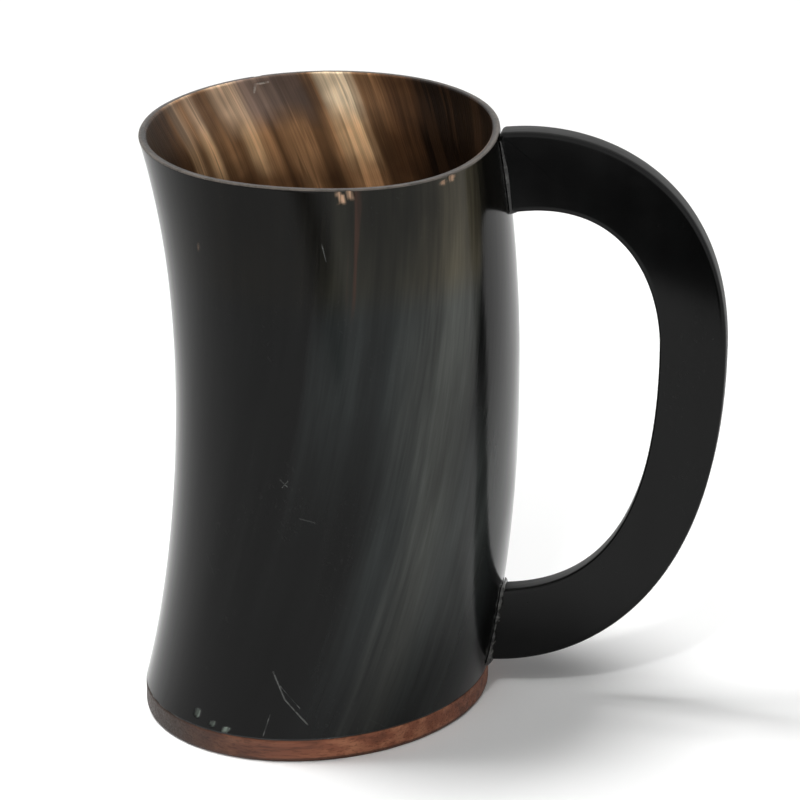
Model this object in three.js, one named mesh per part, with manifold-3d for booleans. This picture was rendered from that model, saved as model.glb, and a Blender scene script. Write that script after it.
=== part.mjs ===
// Horn beer mug: a bowed length of horn on a wooden base, with a flat D-shaped handle glued and pinned to it.
// Millimetres, +Z up. The origin is the middle of the underside, and +X points to the handle.

import * as THREE from 'three';
import { mergeVertices, toCreasedNormals } from 'three/addons/utils/BufferGeometryUtils.js';
import Module from 'manifold-3d';

// Overall heights
const HEIGHT = 152;
const BASE_THICKNESS = 6;
const GLUE_FILM = 0.4;

// Width of the horn in the plane of the handle, at equal steps from its foot to its rim
const FOOT_WIDTH = 87.5;
const LOW_WIDTH = 86.9;
const WAIST_WIDTH = 86.7;
const SHOULDER_WIDTH = 87.3;
const RIM_WIDTH = 89.7;

// How far the middle of the horn bows towards the handle at those steps, beside the middle of its foot
const LOW_BOW = 6;
const WAIST_BOW = 8.1;
const SHOULDER_BOW = 6.9;
const RIM_BOW = 1.2;

// Section of the horn: its depth over its width, the sideways lean of its depth at both ends, and its wall,
// which thins towards the rim
const OVAL = 1.08;
const FOOT_SKEW = 0.12;
const RIM_SKEW = 0.06;
const WALL = 4;
const RIM_WALL = 2;
const LIP_TAPER = 16;
const LIP_ROUND = 0.5;

// Wooden base, and the resin floor poured on it
const BASE_EDGE = 1;
const SPIGOT_HEIGHT = 8;
const SEAL_THICKNESS = 1.2;
const SEAL_FILLET = 3;

// Handle plate, with the skew of its hand-set plane in degrees
const HANDLE_THICKNESS = 6;
const HANDLE_EDGE = 0.8;
const HANDLE_SKEW = 7;
const HANDLE_TOP_RISE = 0.5;
const TOP_CORNER = 1.8;
const UPPER_FOOT_HEIGHT = 21.2;
const LOWER_FOOT_RISE = 9.1;
const LOWER_FOOT_HEIGHT = 20.1;
const GRIP_HEIGHT = 97.6;
const GRIP_WIDTH = 16.9;
const FINGER_ROOM = 35.9;

// Rise of the handle's edges over their run away from the horn, at its feet
const UPPER_OUTER_SLOPE = 0.13;
const UPPER_INNER_SLOPE = 0.2;
const LOWER_INNER_SLOPE = 0.1;
const LOWER_OUTER_SLOPE = 0.02;

// Fullness of the handle's four curves: the pull along the arm and along the grip, as shares of their spans
const OUTER_TOP_PULL = [0.42, 0.82];
const OUTER_LOW_PULL = [0.46, 0.74];
const INNER_TOP_PULL = [0.8, 0.42];
const INNER_LOW_PULL = [0.43, 0.85];

// Glue fillets round the feet, and the blind pins in them
const BEAD_SIZE = 1.5;
const BEAD_BELLY = 0.7;
const BEAD_TOP_DROP = 2.5;
const PIN_DIAMETER = 3;
const PIN_IN_FOOT = 9;
const PIN_IN_WALL = 1.6;

// Clearance between fitted pieces
const FIT_GAP = 0.3;

// Facets
const SIDES = 64;
const BODY_STEPS = 18;
const ROUND_STEPS = 3;
const CURVE_STEPS = 18;
const PIN_SIDES = 16;
const BEAD_STEPS = 8;
const CREASE = THREE.MathUtils.degToRad(35);
const QUARTER = Math.PI / 2;

// Places that follow from the sizes
const HORN_BOTTOM = BASE_THICKNESS + GLUE_FILM;
const FLOOR = BASE_THICKNESS + SPIGOT_HEIGHT;
const UPPER_TOP = HEIGHT + HANDLE_TOP_RISE;
const SKEW = THREE.MathUtils.degToRad(HANDLE_SKEW);

// Feet of the handle: their edges' heights at the horn, and the rise of those edges
const UPPER_FOOT = {
  bottom: UPPER_TOP - UPPER_FOOT_HEIGHT,
  top: UPPER_TOP,
  bottomSlope: UPPER_INNER_SLOPE,
  topSlope: UPPER_OUTER_SLOPE,
};
const LOWER_FOOT = {
  bottom: LOWER_FOOT_RISE,
  top: LOWER_FOOT_RISE + LOWER_FOOT_HEIGHT,
  bottomSlope: LOWER_OUTER_SLOPE,
  topSlope: LOWER_INNER_SLOPE,
};

const wasm = await Module();
wasm.setup();

// Colour and finish of each material
const polishedHorn = new THREE.MeshStandardMaterial({ color: 0x1d1f1e, roughness: 0.25, metalness: 0 });
const sawnHorn = new THREE.MeshStandardMaterial({ color: 0x171817, roughness: 0.35, metalness: 0 });
const oiledWood = new THREE.MeshStandardMaterial({ color: 0x7a4430, roughness: 0.6, metalness: 0 });
const clearGlue = new THREE.MeshStandardMaterial({ color: 0x3a3a36, roughness: 0.2, metalness: 0 });
const amberResin = new THREE.MeshStandardMaterial({ color: 0x4a3620, roughness: 0.3, metalness: 0 });
const steel = new THREE.MeshStandardMaterial({ color: 0x9a9a98, roughness: 0.4, metalness: 1 });

// Smooth curve through values at equal steps, with t from 0 at the first to 1 at the last
function through(values, t) {
  const at = t * (values.length - 1);
  const weight = (i) => values.reduce((product, _, j) => (j === i ? product : product * (at - j) / (i - j)), 1);
  return values.reduce((sum, value, i) => sum + weight(i) * value, 0);
}

// Numbers at equal steps between two ends, both included
function steps(from, to, count) {
  return Array.from({ length: count + 1 }, (_, i) => THREE.MathUtils.lerp(from, to, i / count));
}

// Outside of the horn at a height: its middle, half axes and skew. The base under it keeps its lowest section.
function outside(z) {
  const t = Math.max(0, z - BASE_THICKNESS) / (HEIGHT - BASE_THICKNESS);
  const across = through([FOOT_WIDTH, LOW_WIDTH, WAIST_WIDTH, SHOULDER_WIDTH, RIM_WIDTH], t) / 2;
  const middle = through([0, LOW_BOW, WAIST_BOW, SHOULDER_BOW, RIM_BOW], t);
  return { middle, across, deep: OVAL * across, skew: THREE.MathUtils.lerp(FOOT_SKEW, RIM_SKEW, t) };
}

// Wall of the horn at a height: even below the lip, and eased to the thin rim over it
function wall(z) {
  const t = THREE.MathUtils.smoothstep(z, HEIGHT - LIP_TAPER, HEIGHT);
  return THREE.MathUtils.lerp(WALL, RIM_WALL, t);
}

// One oval ring at a height, set in from the outside of the horn
function ring(z, inset) {
  const { middle, across, deep, skew } = outside(z);
  return steps(0, 2 * Math.PI, SIDES).slice(0, SIDES).map((angle) => {
    const y = (deep - inset) * Math.sin(angle);
    return new THREE.Vector3(middle + (across - inset) * Math.cos(angle) + skew * y, y, z);
  });
}

// Closed skin over rings of equal counts. Its ends are joined to each other, or each is capped with a fan.
function skin(rings, loop) {
  const count = rings[0].length;
  const points = rings.flat();
  const faces = [];
  for (let r = 0; r < (loop ? rings.length : rings.length - 1); r++) {
    const low = r * count;
    const high = ((r + 1) % rings.length) * count;
    for (let i = 0; i < count; i++) {
      const next = (i + 1) % count;
      faces.push(low + i, low + next, high + next, low + i, high + next, high + i);
    }
  }
  const cap = (end, flip) => {
    const middle = new THREE.Vector3();
    end.forEach((point) => middle.addScaledVector(point, 1 / count));
    const first = points.indexOf(end[0]);
    points.push(middle);
    for (let i = 0; i < count; i++) {
      const pair = [first + i, first + (i + 1) % count];
      faces.push(points.length - 1, ...(flip ? pair.reverse() : pair));
    }
  };
  if (!loop) {
    cap(rings[0], true);
    cap(rings.at(-1), false);
  }
  const geometry = new THREE.BufferGeometry().setFromPoints(points);
  geometry.setIndex(faces);
  return geometry;
}

// Solid for cutting, from a closed geometry
function solid(geometry) {
  const bare = geometry.clone();
  bare.deleteAttribute('normal');
  bare.deleteAttribute('uv');
  const merged = mergeVertices(bare);
  return new wasm.Manifold(new wasm.Mesh({
    numProp: 3,
    vertProperties: new Float32Array(merged.attributes.position.array),
    triVerts: new Uint32Array(merged.index.array),
  }));
}

// Geometry of a solid
function geometryOf(body) {
  const { vertProperties, triVerts } = body.getMesh();
  const geometry = new THREE.BufferGeometry();
  geometry.setAttribute('position', new THREE.BufferAttribute(new Float32Array(vertProperties), 3));
  geometry.setIndex(new THREE.BufferAttribute(new Uint32Array(triVerts), 1));
  return geometry;
}

// Named mesh whose sharp edges stay sharp
function piece(name, geometry, material) {
  const mesh = new THREE.Mesh(toCreasedNormals(geometry, CREASE), material);
  mesh.name = name;
  return mesh;
}

// Frame of the handle: the plate lies in its XZ plane, which is turned about the upper foot
const handleFrame = new THREE.Group();
handleFrame.position.x = outside(UPPER_TOP).middle + outside(UPPER_TOP).across;
handleFrame.rotation.z = -SKEW;
handleFrame.updateMatrixWorld();

// Distance along the plate at which a line to the side of its middle comes out of the horn, grown by a gap
function reach(side, z, gap = FIT_GAP) {
  const { middle, across, deep, skew } = outside(z);
  const onOval = (x, y) => new THREE.Vector2((x - skew * y) / (across + gap), y / (deep + gap));
  const from = new THREE.Vector3(0, side, z).applyMatrix4(handleFrame.matrixWorld);
  const start = onOval(from.x - middle, from.y);
  const run = onOval(Math.cos(SKEW), -Math.sin(SKEW));
  const mixed = start.dot(run);
  return (Math.sqrt(mixed ** 2 + run.lengthSq() * (1 - start.lengthSq())) - mixed) / run.lengthSq();
}

// Curve from an arm's edge at its foot to the grip, or back again
function armCurve(shape, foot, slope, grip, [armPull, gripPull], toGrip) {
  const run = (grip.x - foot.x) * armPull;
  const onArm = new THREE.Vector2(foot.x + run, foot.y + run * slope);
  const onGrip = new THREE.Vector2(grip.x, THREE.MathUtils.lerp(grip.y, foot.y, gripPull));
  const [first, second, end] = toGrip ? [onArm, onGrip, grip] : [onGrip, onArm, foot];
  shape.bezierCurveTo(first.x, first.y, second.x, second.y, end.x, end.y);
}

// Outline of the handle, with its feet run on into the horn
function handleOutline() {
  const inner = new THREE.Vector2(reach(0, GRIP_HEIGHT, 0) + FINGER_ROOM, GRIP_HEIGHT);
  const outer = new THREE.Vector2(inner.x + GRIP_WIDTH, GRIP_HEIGHT);
  const edge = (z) => new THREE.Vector2(reach(0, z), z);
  const corner = edge(UPPER_FOOT.top);
  const crown = new THREE.Vector2(corner.x + TOP_CORNER, corner.y);
  const heel = edge(LOWER_FOOT.bottom);
  const lowInner = edge(LOWER_FOOT.top);
  const topInner = edge(UPPER_FOOT.bottom);
  const shape = new THREE.Shape();
  shape.moveTo(corner.x - WALL, corner.y - TOP_CORNER);
  shape.lineTo(corner.x, corner.y - TOP_CORNER);
  shape.quadraticCurveTo(corner.x, corner.y, crown.x, crown.y);
  armCurve(shape, crown, UPPER_FOOT.topSlope, outer, OUTER_TOP_PULL, true);
  armCurve(shape, heel, LOWER_FOOT.bottomSlope, outer, OUTER_LOW_PULL, false);
  shape.lineTo(heel.x - WALL, heel.y - WALL * LOWER_FOOT.bottomSlope);
  shape.lineTo(lowInner.x - WALL, lowInner.y - WALL * LOWER_FOOT.topSlope);
  shape.lineTo(lowInner.x, lowInner.y);
  armCurve(shape, lowInner, LOWER_FOOT.topSlope, inner, INNER_LOW_PULL, true);
  armCurve(shape, topInner, UPPER_FOOT.bottomSlope, inner, INNER_TOP_PULL, false);
  shape.lineTo(topInner.x - WALL, topInner.y - WALL * UPPER_FOOT.bottomSlope);
  shape.closePath();
  return shape;
}

// Flat plate of the handle, with rounded edges, before its feet are coped
function plateGeometry() {
  const depth = HANDLE_THICKNESS - 2 * HANDLE_EDGE;
  return new THREE.ExtrudeGeometry(handleOutline(), {
    depth,
    curveSegments: CURVE_STEPS,
    bevelThickness: HANDLE_EDGE,
    bevelSize: HANDLE_EDGE,
    bevelOffset: -HANDLE_EDGE,
    bevelSegments: ROUND_STEPS,
  }).translate(0, 0, -depth / 2).rotateX(QUARTER);
}

// Pin along the middle of a foot, or with a gap the hole for it
function pinGeometry(foot, gap) {
  const z = (foot.bottom + foot.top) / 2;
  const radius = PIN_DIAMETER / 2 + gap;
  const length = PIN_IN_FOOT + PIN_IN_WALL + 2 * gap;
  const start = reach(0, z, 0) - PIN_IN_WALL - gap;
  return new THREE.CylinderGeometry(radius, radius, length, PIN_SIDES)
    .rotateZ(QUARTER)
    .translate(start + length / 2, 0, z);
}

// Walk round a foot's section, some way out from the horn: down its front, under it and up its back, and for
// a closed walk over its top as well. Each stop has its place, as side and height, and its outward direction.
function footWalk(foot, out, closed) {
  const side = HANDLE_THICKNESS / 2 - HANDLE_EDGE;
  const bottom = foot.bottom + foot.bottomSlope * out + HANDLE_EDGE;
  const top = foot.top + foot.topSlope * out - HANDLE_EDGE;
  const start = closed ? top : foot.top - BEAD_TOP_DROP;
  const stop = (x, z, turn) => {
    const outward = new THREE.Vector2(Math.cos(turn), Math.sin(turn));
    return { place: new THREE.Vector2(x, z).addScaledVector(outward, HANDLE_EDGE), outward };
  };
  const corner = (x, z, from) => steps(from, from + QUARTER, ROUND_STEPS).map((turn) => stop(x, z, turn));
  const front = steps(start, bottom, BEAD_STEPS).slice(0, -1).map((z) => stop(-side, z, 2 * QUARTER));
  const back = steps(bottom, start, BEAD_STEPS).slice(1).map((z) => stop(side, z, 0));
  const under = [...corner(-side, bottom, 2 * QUARTER), ...corner(side, bottom, 3 * QUARTER)];
  const over = [...corner(side, top, 0).slice(1), ...corner(-side, top, QUARTER).slice(0, -1)];
  return [...front, ...under, ...back, ...(closed ? over : [])];
}

// Glue fillet in the corner between a foot and the horn
function beadGeometry(foot, closed) {
  const atHorn = footWalk(foot, 0, closed);
  const atTip = footWalk(foot, BEAD_SIZE, closed);
  const point = ({ place, outward }, off, lift) => {
    const at = place.clone().addScaledVector(outward, FIT_GAP + off);
    return new THREE.Vector3(reach(at.x, at.y) + lift, at.x, at.y);
  };
  const rings = atHorn.map((stop, i) => [
    point(stop, 0, 0),
    point(atTip[i], 0, BEAD_SIZE),
    point(atTip[i], BEAD_BELLY, BEAD_BELLY),
    point(stop, BEAD_SIZE, 0),
  ]);
  return skin(rings, closed);
}

// Bowed tube of horn with a rounded lip, and blind holes for the pins
function hornGeometry() {
  const lip = HEIGHT - LIP_ROUND;
  const round = steps(0, QUARTER, ROUND_STEPS).map((turn) => [Math.sin(turn), 1 - Math.cos(turn)]);
  const tube = skin([
    ...steps(HORN_BOTTOM, lip, BODY_STEPS).map((z) => ring(z, 0)),
    ...round.slice(1).map(([up, inward]) => ring(lip + LIP_ROUND * up, LIP_ROUND * inward)),
    ...round.slice(1).reverse().map(([up, inward]) => ring(lip + LIP_ROUND * up, RIM_WALL - LIP_ROUND * inward)),
    ...steps(lip, HORN_BOTTOM, BODY_STEPS).map((z) => ring(z, wall(z))),
  ], true);
  const holes = [UPPER_FOOT, LOWER_FOOT].map((foot) => (
    solid(pinGeometry(foot, FIT_GAP).applyMatrix4(handleFrame.matrixWorld))
  ));
  return geometryOf(holes.reduce((body, hole) => body.subtract(hole), solid(tube)));
}

// Handle plate, coped to the horn and drilled for the pins
function handleGeometry() {
  const hornBlock = skin(steps(0, HEIGHT + FIT_GAP, BODY_STEPS).map((z) => ring(z, -FIT_GAP)), false);
  const cuts = [
    hornBlock.applyMatrix4(handleFrame.matrixWorld.clone().invert()),
    pinGeometry(UPPER_FOOT, FIT_GAP),
    pinGeometry(LOWER_FOOT, FIT_GAP),
  ];
  return geometryOf(cuts.reduce((plate, cut) => plate.subtract(solid(cut)), solid(plateGeometry())));
}

// Wooden disc, flush with the horn, with a spigot that fits inside it
function baseGeometry() {
  const round = steps(0, QUARTER, ROUND_STEPS);
  return skin([
    ...round.map((turn) => ring(BASE_EDGE * (1 - Math.cos(turn)), BASE_EDGE * (1 - Math.sin(turn)))),
    ring(BASE_THICKNESS, 0),
    ring(BASE_THICKNESS, WALL + FIT_GAP),
    ring(FLOOR, WALL + FIT_GAP),
  ], false);
}

// Glue film on the shoulder of the base
function glueFilmGeometry() {
  return skin([
    ring(BASE_THICKNESS, FIT_GAP),
    ring(HORN_BOTTOM, FIT_GAP),
    ring(HORN_BOTTOM, WALL),
    ring(BASE_THICKNESS, WALL),
  ], true);
}

// Resin floor with a hollow fillet up to the wall
function sealGeometry() {
  const level = FLOOR + SEAL_THICKNESS;
  const edge = WALL + FIT_GAP;
  const fillet = steps(0, QUARTER, ROUND_STEPS).map((turn) => (
    ring(level + SEAL_FILLET * (1 - Math.sin(turn)), edge + SEAL_FILLET * (1 - Math.cos(turn)))
  ));
  return skin([ring(FLOOR, edge), ring(level, edge), ...fillet], false);
}

handleFrame.add(
  piece('handle', handleGeometry(), sawnHorn),
  piece('upper_glue_bead', beadGeometry(UPPER_FOOT, false), clearGlue),
  piece('lower_glue_bead', beadGeometry(LOWER_FOOT, true), clearGlue),
  piece('upper_handle_pin', pinGeometry(UPPER_FOOT, 0), steel),
  piece('lower_handle_pin', pinGeometry(LOWER_FOOT, 0), steel),
);

const mug = new THREE.Group();
mug.add(
  piece('horn_body', hornGeometry(), polishedHorn),
  piece('wooden_base', baseGeometry(), oiledWood),
  piece('base_glue', glueFilmGeometry(), clearGlue),
  piece('floor_seal', sealGeometry(), amberResin),
  handleFrame,
);

export default mug;
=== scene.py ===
"""Horn beer mug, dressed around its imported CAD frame.

A bowed length of polished horn stands on a wooden base with a resin floor, and a flat D-shaped handle of horn
is glued to its side. Sizes are metres, +Z is up and +X points to the handle.
"""

import functools
import logging
import math
from collections.abc import Mapping, Sequence
from dataclasses import dataclass
from enum import Enum, IntEnum

import bmesh
import bpy
from bpy.types import Material, Mesh, Node, NodeSocket, NodeTree, Object
from mathutils import Matrix, Vector, noise
from mathutils.geometry import interpolate_bezier


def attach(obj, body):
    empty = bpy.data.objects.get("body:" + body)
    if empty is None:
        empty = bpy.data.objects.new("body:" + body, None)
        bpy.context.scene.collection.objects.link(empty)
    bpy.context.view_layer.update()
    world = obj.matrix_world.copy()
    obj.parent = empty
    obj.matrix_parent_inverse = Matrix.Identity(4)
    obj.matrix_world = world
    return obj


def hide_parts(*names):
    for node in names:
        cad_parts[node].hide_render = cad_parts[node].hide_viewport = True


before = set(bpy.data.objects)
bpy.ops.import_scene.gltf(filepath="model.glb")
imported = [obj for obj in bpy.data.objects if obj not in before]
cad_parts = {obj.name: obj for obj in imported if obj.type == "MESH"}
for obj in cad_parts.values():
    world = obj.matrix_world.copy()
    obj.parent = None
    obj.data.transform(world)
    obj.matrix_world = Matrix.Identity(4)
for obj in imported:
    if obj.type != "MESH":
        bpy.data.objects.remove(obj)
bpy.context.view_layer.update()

LOG = logging.getLogger("horn_mug")
BODY = "root"
TURN = 2 * math.pi
QUARTER = math.pi / 2

NUMBER_RESULTS = ("DOT_PRODUCT", "LENGTH")

# Numbers of the sockets that Blender's Vector Math and Mix nodes use here
VECTOR_INPUTS = (0, 1, 3)
MIX_INPUTS = (0, 6, 7)
MIX_RESULT = 2

# Where most of a noise texture lies, its middle, and how much finer hairs are than streaks
NOISE_SPAN = (0.3, 0.7)
NOISE_MIDDLE = 0.5
HAIRS_PER_STREAK = 7.0

Colour = tuple[float, float, float]
Place = tuple[float, float, float]
Span = tuple[float, float]
Stops = list[tuple[float, Colour]]
Sockets = Mapping[str, NodeSocket]
Feed = NodeSocket | float | Sequence[float] | None


class Slot(Enum):
    """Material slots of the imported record."""

    POLISHED_HORN = "polished_horn"
    SAWN_HORN = "sawn_horn"
    OILED_WOOD = "oiled_wood"
    CLEAR_GLUE = "clear_glue"
    AMBER_RESIN = "amber_resin"
    STEEL_PIN = "steel_pin"


class Mark(Enum):
    """Values that a mesh carries at its points for its finish to read."""

    FIBRE = "fibre"
    CHIP = "chip"
    EDGE = "edge"


class Ground(Enum):
    """What polished pieces mirror from below: the pale bench, or the dark opening in front of it."""

    BENCH = 1
    OPENING = 2


class Band(IntEnum):
    """Parts of the horn's skin, by the slots of their finishes."""

    OUTSIDE = 0
    RIM = 1
    INSIDE = 2


def lerp(low: float, high: float, share: float) -> float:
    """Returns the number at a share of the way between two others."""
    return low + (high - low) * share


def smooth(low: float, high: float, value: float) -> float:
    """Returns 0 below low, 1 above high, and an eased share between them."""
    share = min(1.0, max(0.0, (value - low) / (high - low)))
    return share * share * (3 - 2 * share)


def spread(low: float, high: float, count: int) -> list[float]:
    """Returns count + 1 numbers at equal steps between two ends, both included."""
    return [lerp(low, high, i / count) for i in range(count + 1)]


def through(values: Sequence[float], share: float) -> float:
    """Follows the smooth curve through values that stand at equal steps.

    Args:
        values: The values, first to last.
        share: 0 at the first value and 1 at the last.

    Returns:
        The curve's value there.
    """
    at = share * (len(values) - 1)
    total = 0.0
    for i, value in enumerate(values):
        weight = 1.0
        for j in range(len(values)):
            if j != i:
                weight *= (at - j) / (i - j)
        total += weight * value
    return total


def wobble(x: float, y: float, z: float) -> float:
    """Returns smooth fixed noise between about -1 and 1."""
    return noise.noise(Vector((x, y, z)))


def lifted(value: float) -> float:
    """Returns noise between -1 and 1 as a share between 0 and 1."""
    return 0.5 + 0.5 * value


def ruffle(angle: float, waves: float, z: float) -> float:
    """Returns smooth fixed noise that closes round a turn."""
    return wobble(math.cos(angle) * waves, math.sin(angle) * waves, z)


def angles(count: int) -> list[float]:
    """Returns equal steps round a turn."""
    return [TURN * i / count for i in range(count)]


def turn_share(degrees: float) -> float:
    """Returns degrees from -180 to 180 as a share of a turn."""
    return degrees / 360 + 0.5


class Graph:
    """Places and joins the nodes of one shader tree."""

    def __init__(self, tree: NodeTree) -> None:
        """Keeps the tree that the nodes go into."""
        self.tree = tree

    def node(self, kind: str, **settings: object) -> Node:
        """Adds a node.

        Args:
            kind: Blender's name of the node type.
            settings: Properties to set on the node.

        Returns:
            The new node.
        """
        made = self.tree.nodes.new(kind)
        for key, value in settings.items():
            setattr(made, key, value)
        return made

    def feed(self, socket: NodeSocket, value: Feed) -> None:
        """Joins a socket to another one, or sets its own value.

        Args:
            socket: The input to feed.
            value: A socket to join, a number or vector to set, or None to leave the input as it is.
        """
        if isinstance(value, NodeSocket):
            self.tree.links.new(value, socket)
        elif value is not None:
            four = socket.type == "RGBA" and len(value) == 3
            socket.default_value = (*value, 1.0) if four else value

    def math(self, operation: str, *operands: Feed) -> NodeSocket:
        """Adds a Math node.

        Args:
            operation: Blender's name of the operation.
            operands: One to three operands.

        Returns:
            The result.
        """
        made = self.node("ShaderNodeMath", operation=operation)
        for socket, value in zip(made.inputs, operands):
            self.feed(socket, value)
        return made.outputs[0]

    def times(self, *factors: Feed) -> NodeSocket:
        """Returns the product of numbers."""
        return functools.reduce(functools.partial(self.math, "MULTIPLY"), factors)

    def plus(self, *terms: Feed) -> NodeSocket:
        """Returns the sum of numbers."""
        return functools.reduce(functools.partial(self.math, "ADD"), terms)

    def most(self, *values: Feed) -> NodeSocket:
        """Returns the largest of numbers."""
        return functools.reduce(functools.partial(self.math, "MAXIMUM"), values)

    def minus(self, first: Feed, second: Feed) -> NodeSocket:
        """Returns the difference of two numbers."""
        return self.math("SUBTRACT", first, second)

    def scaled(self, value: Feed, gain: Feed, offset: Feed) -> NodeSocket:
        """Returns a number times a gain, plus an offset."""
        return self.math("MULTIPLY_ADD", value, gain, offset)

    def vector(self, operation: str, first: Feed, second: Feed = None, scale: Feed = None) -> NodeSocket:
        """Adds a Vector Math node.

        Args:
            operation: Blender's name of the operation.
            first: First operand.
            second: Second operand, where there is one.
            scale: Number for the Scale operation.

        Returns:
            The result, a vector or a number.
        """
        made = self.node("ShaderNodeVectorMath", operation=operation)
        for index, value in zip(VECTOR_INPUTS, (first, second, scale)):
            self.feed(made.inputs[index], value)
        return made.outputs["Value" if operation in NUMBER_RESULTS else "Vector"]

    def tint(self, colour: Feed, strength: Feed) -> NodeSocket:
        """Returns a colour made lighter or darker by a number."""
        return self.vector("SCALE", colour, scale=strength)

    def mix(self, share: Feed, first: Feed, second: Feed) -> NodeSocket:
        """Adds a colour mix.

        Args:
            share: 0 for the first colour, 1 for the second.
            first: First colour.
            second: Second colour.

        Returns:
            The mixed colour.
        """
        made = self.node("ShaderNodeMix", data_type="RGBA")
        for index, value in zip(MIX_INPUTS, (share, first, second)):
            self.feed(made.inputs[index], value)
        return made.outputs[MIX_RESULT]

    def remap(
        self, value: Feed, low: float, high: float, to_low: float = 0.0, to_high: float = 1.0
    ) -> NodeSocket:
        """Adds an eased Map Range.

        Args:
            value: Number to map.
            low: Number that gives to_low.
            high: Number that gives to_high.
            to_low: Result at low and below.
            to_high: Result at high and above.

        Returns:
            The mapped number.
        """
        made = self.node("ShaderNodeMapRange", interpolation_type="SMOOTHSTEP")
        for index, number in enumerate((value, low, high, to_low, to_high)):
            self.feed(made.inputs[index], number)
        return made.outputs[0]

    def ramp(self, share: Feed, stops: Sequence[tuple[float, Colour]]) -> NodeSocket:
        """Adds a colour ramp.

        Args:
            share: Place on the ramp.
            stops: Places and colours, in order.

        Returns:
            The colour at that place.
        """
        made = self.node("ShaderNodeValToRGB")
        made.color_ramp.interpolation = "EASE"
        elements = made.color_ramp.elements
        while len(elements) < len(stops):
            elements.new(1.0)
        for element, (place, colour) in zip(elements, stops):
            element.position = place
            element.color = (*colour, 1.0)
        self.feed(made.inputs["Fac"], share)
        return made.outputs["Color"]

    def noise(self, place: Feed, scale: Feed, detail: float = 2.0, rough: float = 0.5) -> NodeSocket:
        """Adds a noise texture.

        Args:
            place: Coordinates.
            scale: Features per metre.
            detail: Octaves.
            rough: Weight of the fine octaves.

        Returns:
            The noise, between 0 and 1.
        """
        made = self.node("ShaderNodeTexNoise")
        for name, value in (("Vector", place), ("Scale", scale), ("Detail", detail), ("Roughness", rough)):
            self.feed(made.inputs[name], value)
        return made.outputs["Fac"]

    def part(self, place: Feed, axis: str) -> NodeSocket:
        """Takes a vector apart.

        Args:
            place: The vector.
            axis: X, Y or Z.

        Returns:
            That coordinate.
        """
        made = self.node("ShaderNodeSeparateXYZ")
        self.feed(made.inputs[0], place)
        return made.outputs[axis]

    def join(self, x: Feed, y: Feed, z: Feed) -> NodeSocket:
        """Makes a vector.

        Args:
            x: First coordinate.
            y: Second coordinate.
            z: Third coordinate.

        Returns:
            The vector.
        """
        made = self.node("ShaderNodeCombineXYZ")
        for socket, value in zip(made.inputs, (x, y, z)):
            self.feed(socket, value)
        return made.outputs[0]

    def here(self) -> NodeSocket:
        """Returns the place on the piece, in metres of the shared frame."""
        return self.node("ShaderNodeTexCoord").outputs["Object"]

    def facing(self) -> NodeSocket:
        """Returns the direction in which the surface faces, in the shared frame."""
        return self.node("ShaderNodeTexCoord").outputs["Normal"]

    def mark(self, mark: Mark) -> Sockets:
        """Returns the outputs of the node that reads a mark from the mesh."""
        return self.node("ShaderNodeAttribute", attribute_name=mark.value).outputs

    def group(self, tree: NodeTree, **values: Feed) -> Sockets:
        """Places a node group.

        Args:
            tree: The group.
            values: What feeds its inputs, by their names.

        Returns:
            The group's outputs.
        """
        made = self.node("ShaderNodeGroup", node_tree=tree)
        for name, value in values.items():
            self.feed(made.inputs[name], value)
        return made.outputs

    def bump(self, height: Feed, depth: float) -> NodeSocket:
        """Adds a bump.

        Args:
            height: Relief of the surface.
            depth: Metres that a relief of 1 stands for.

        Returns:
            The normal of the raised surface.
        """
        made = self.node("ShaderNodeBump")
        made.inputs["Distance"].default_value = depth
        self.feed(made.inputs["Height"], height)
        return made.outputs["Normal"]


class Effect:
    """A shader node group in the making, with named inputs and outputs."""

    def __init__(
        self, name: str, vectors: Sequence[str], numbers: Sequence[str], results: Sequence[str] = ("Mask",)
    ) -> None:
        """Makes the group's sockets.

        Args:
            name: Name of the group.
            vectors: Names of the inputs that are vectors.
            numbers: Names of the inputs that are numbers.
            results: Names of the outputs, which are numbers.
        """
        self.tree = bpy.data.node_groups.new(name, "ShaderNodeTree")
        sockets = [(key, "INPUT", "NodeSocketVector") for key in vectors]
        sockets += [(key, "INPUT", "NodeSocketFloat") for key in numbers]
        sockets += [(key, "OUTPUT", "NodeSocketFloat") for key in results]
        for key, side, kind in sockets:
            self.tree.interface.new_socket(key, in_out=side, socket_type=kind)
        self.graph = Graph(self.tree)
        self.given = self.graph.node("NodeGroupInput").outputs
        self.result = self.graph.node("NodeGroupOutput").inputs

    def put(self, name: str, value: Feed) -> None:
        """Feeds one of the group's outputs."""
        self.graph.feed(self.result[name], value)


@functools.cache
def fibre_grain() -> NodeTree:
    """Builds the grain of horn and wood: streaks and hairs along the third coordinate.

    Returns:
        A group that takes Fibre, Scale, Stretch and Wander, and gives Streak, Hair and Turn, the share of a
        turn about the fibres that its streaks make wander.
    """
    effect = Effect("fibre_grain", ("Fibre",), ("Scale", "Stretch", "Wander"), ("Streak", "Hair", "Turn"))
    graph, given = effect.graph, effect.given
    drawn = graph.vector("MULTIPLY", given["Fibre"], graph.join(1.0, 1.0, given["Stretch"]))
    streak = graph.noise(drawn, given["Scale"], detail=3.0, rough=0.6)
    hair = graph.noise(drawn, graph.times(given["Scale"], HAIRS_PER_STREAK), detail=2.0)
    around = graph.math("ARCTAN2", graph.part(given["Fibre"], "Y"), graph.part(given["Fibre"], "X"))
    astray = graph.times(graph.minus(streak, NOISE_MIDDLE), given["Wander"])
    turned = graph.scaled(around, 1 / TURN, turn_share(0.0))
    effect.put("Streak", graph.remap(streak, *NOISE_SPAN))
    effect.put("Hair", graph.remap(hair, *NOISE_SPAN))
    effect.put("Turn", graph.math("FRACT", graph.plus(graph.plus(turned, astray), 1.0)))
    return effect.tree


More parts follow.
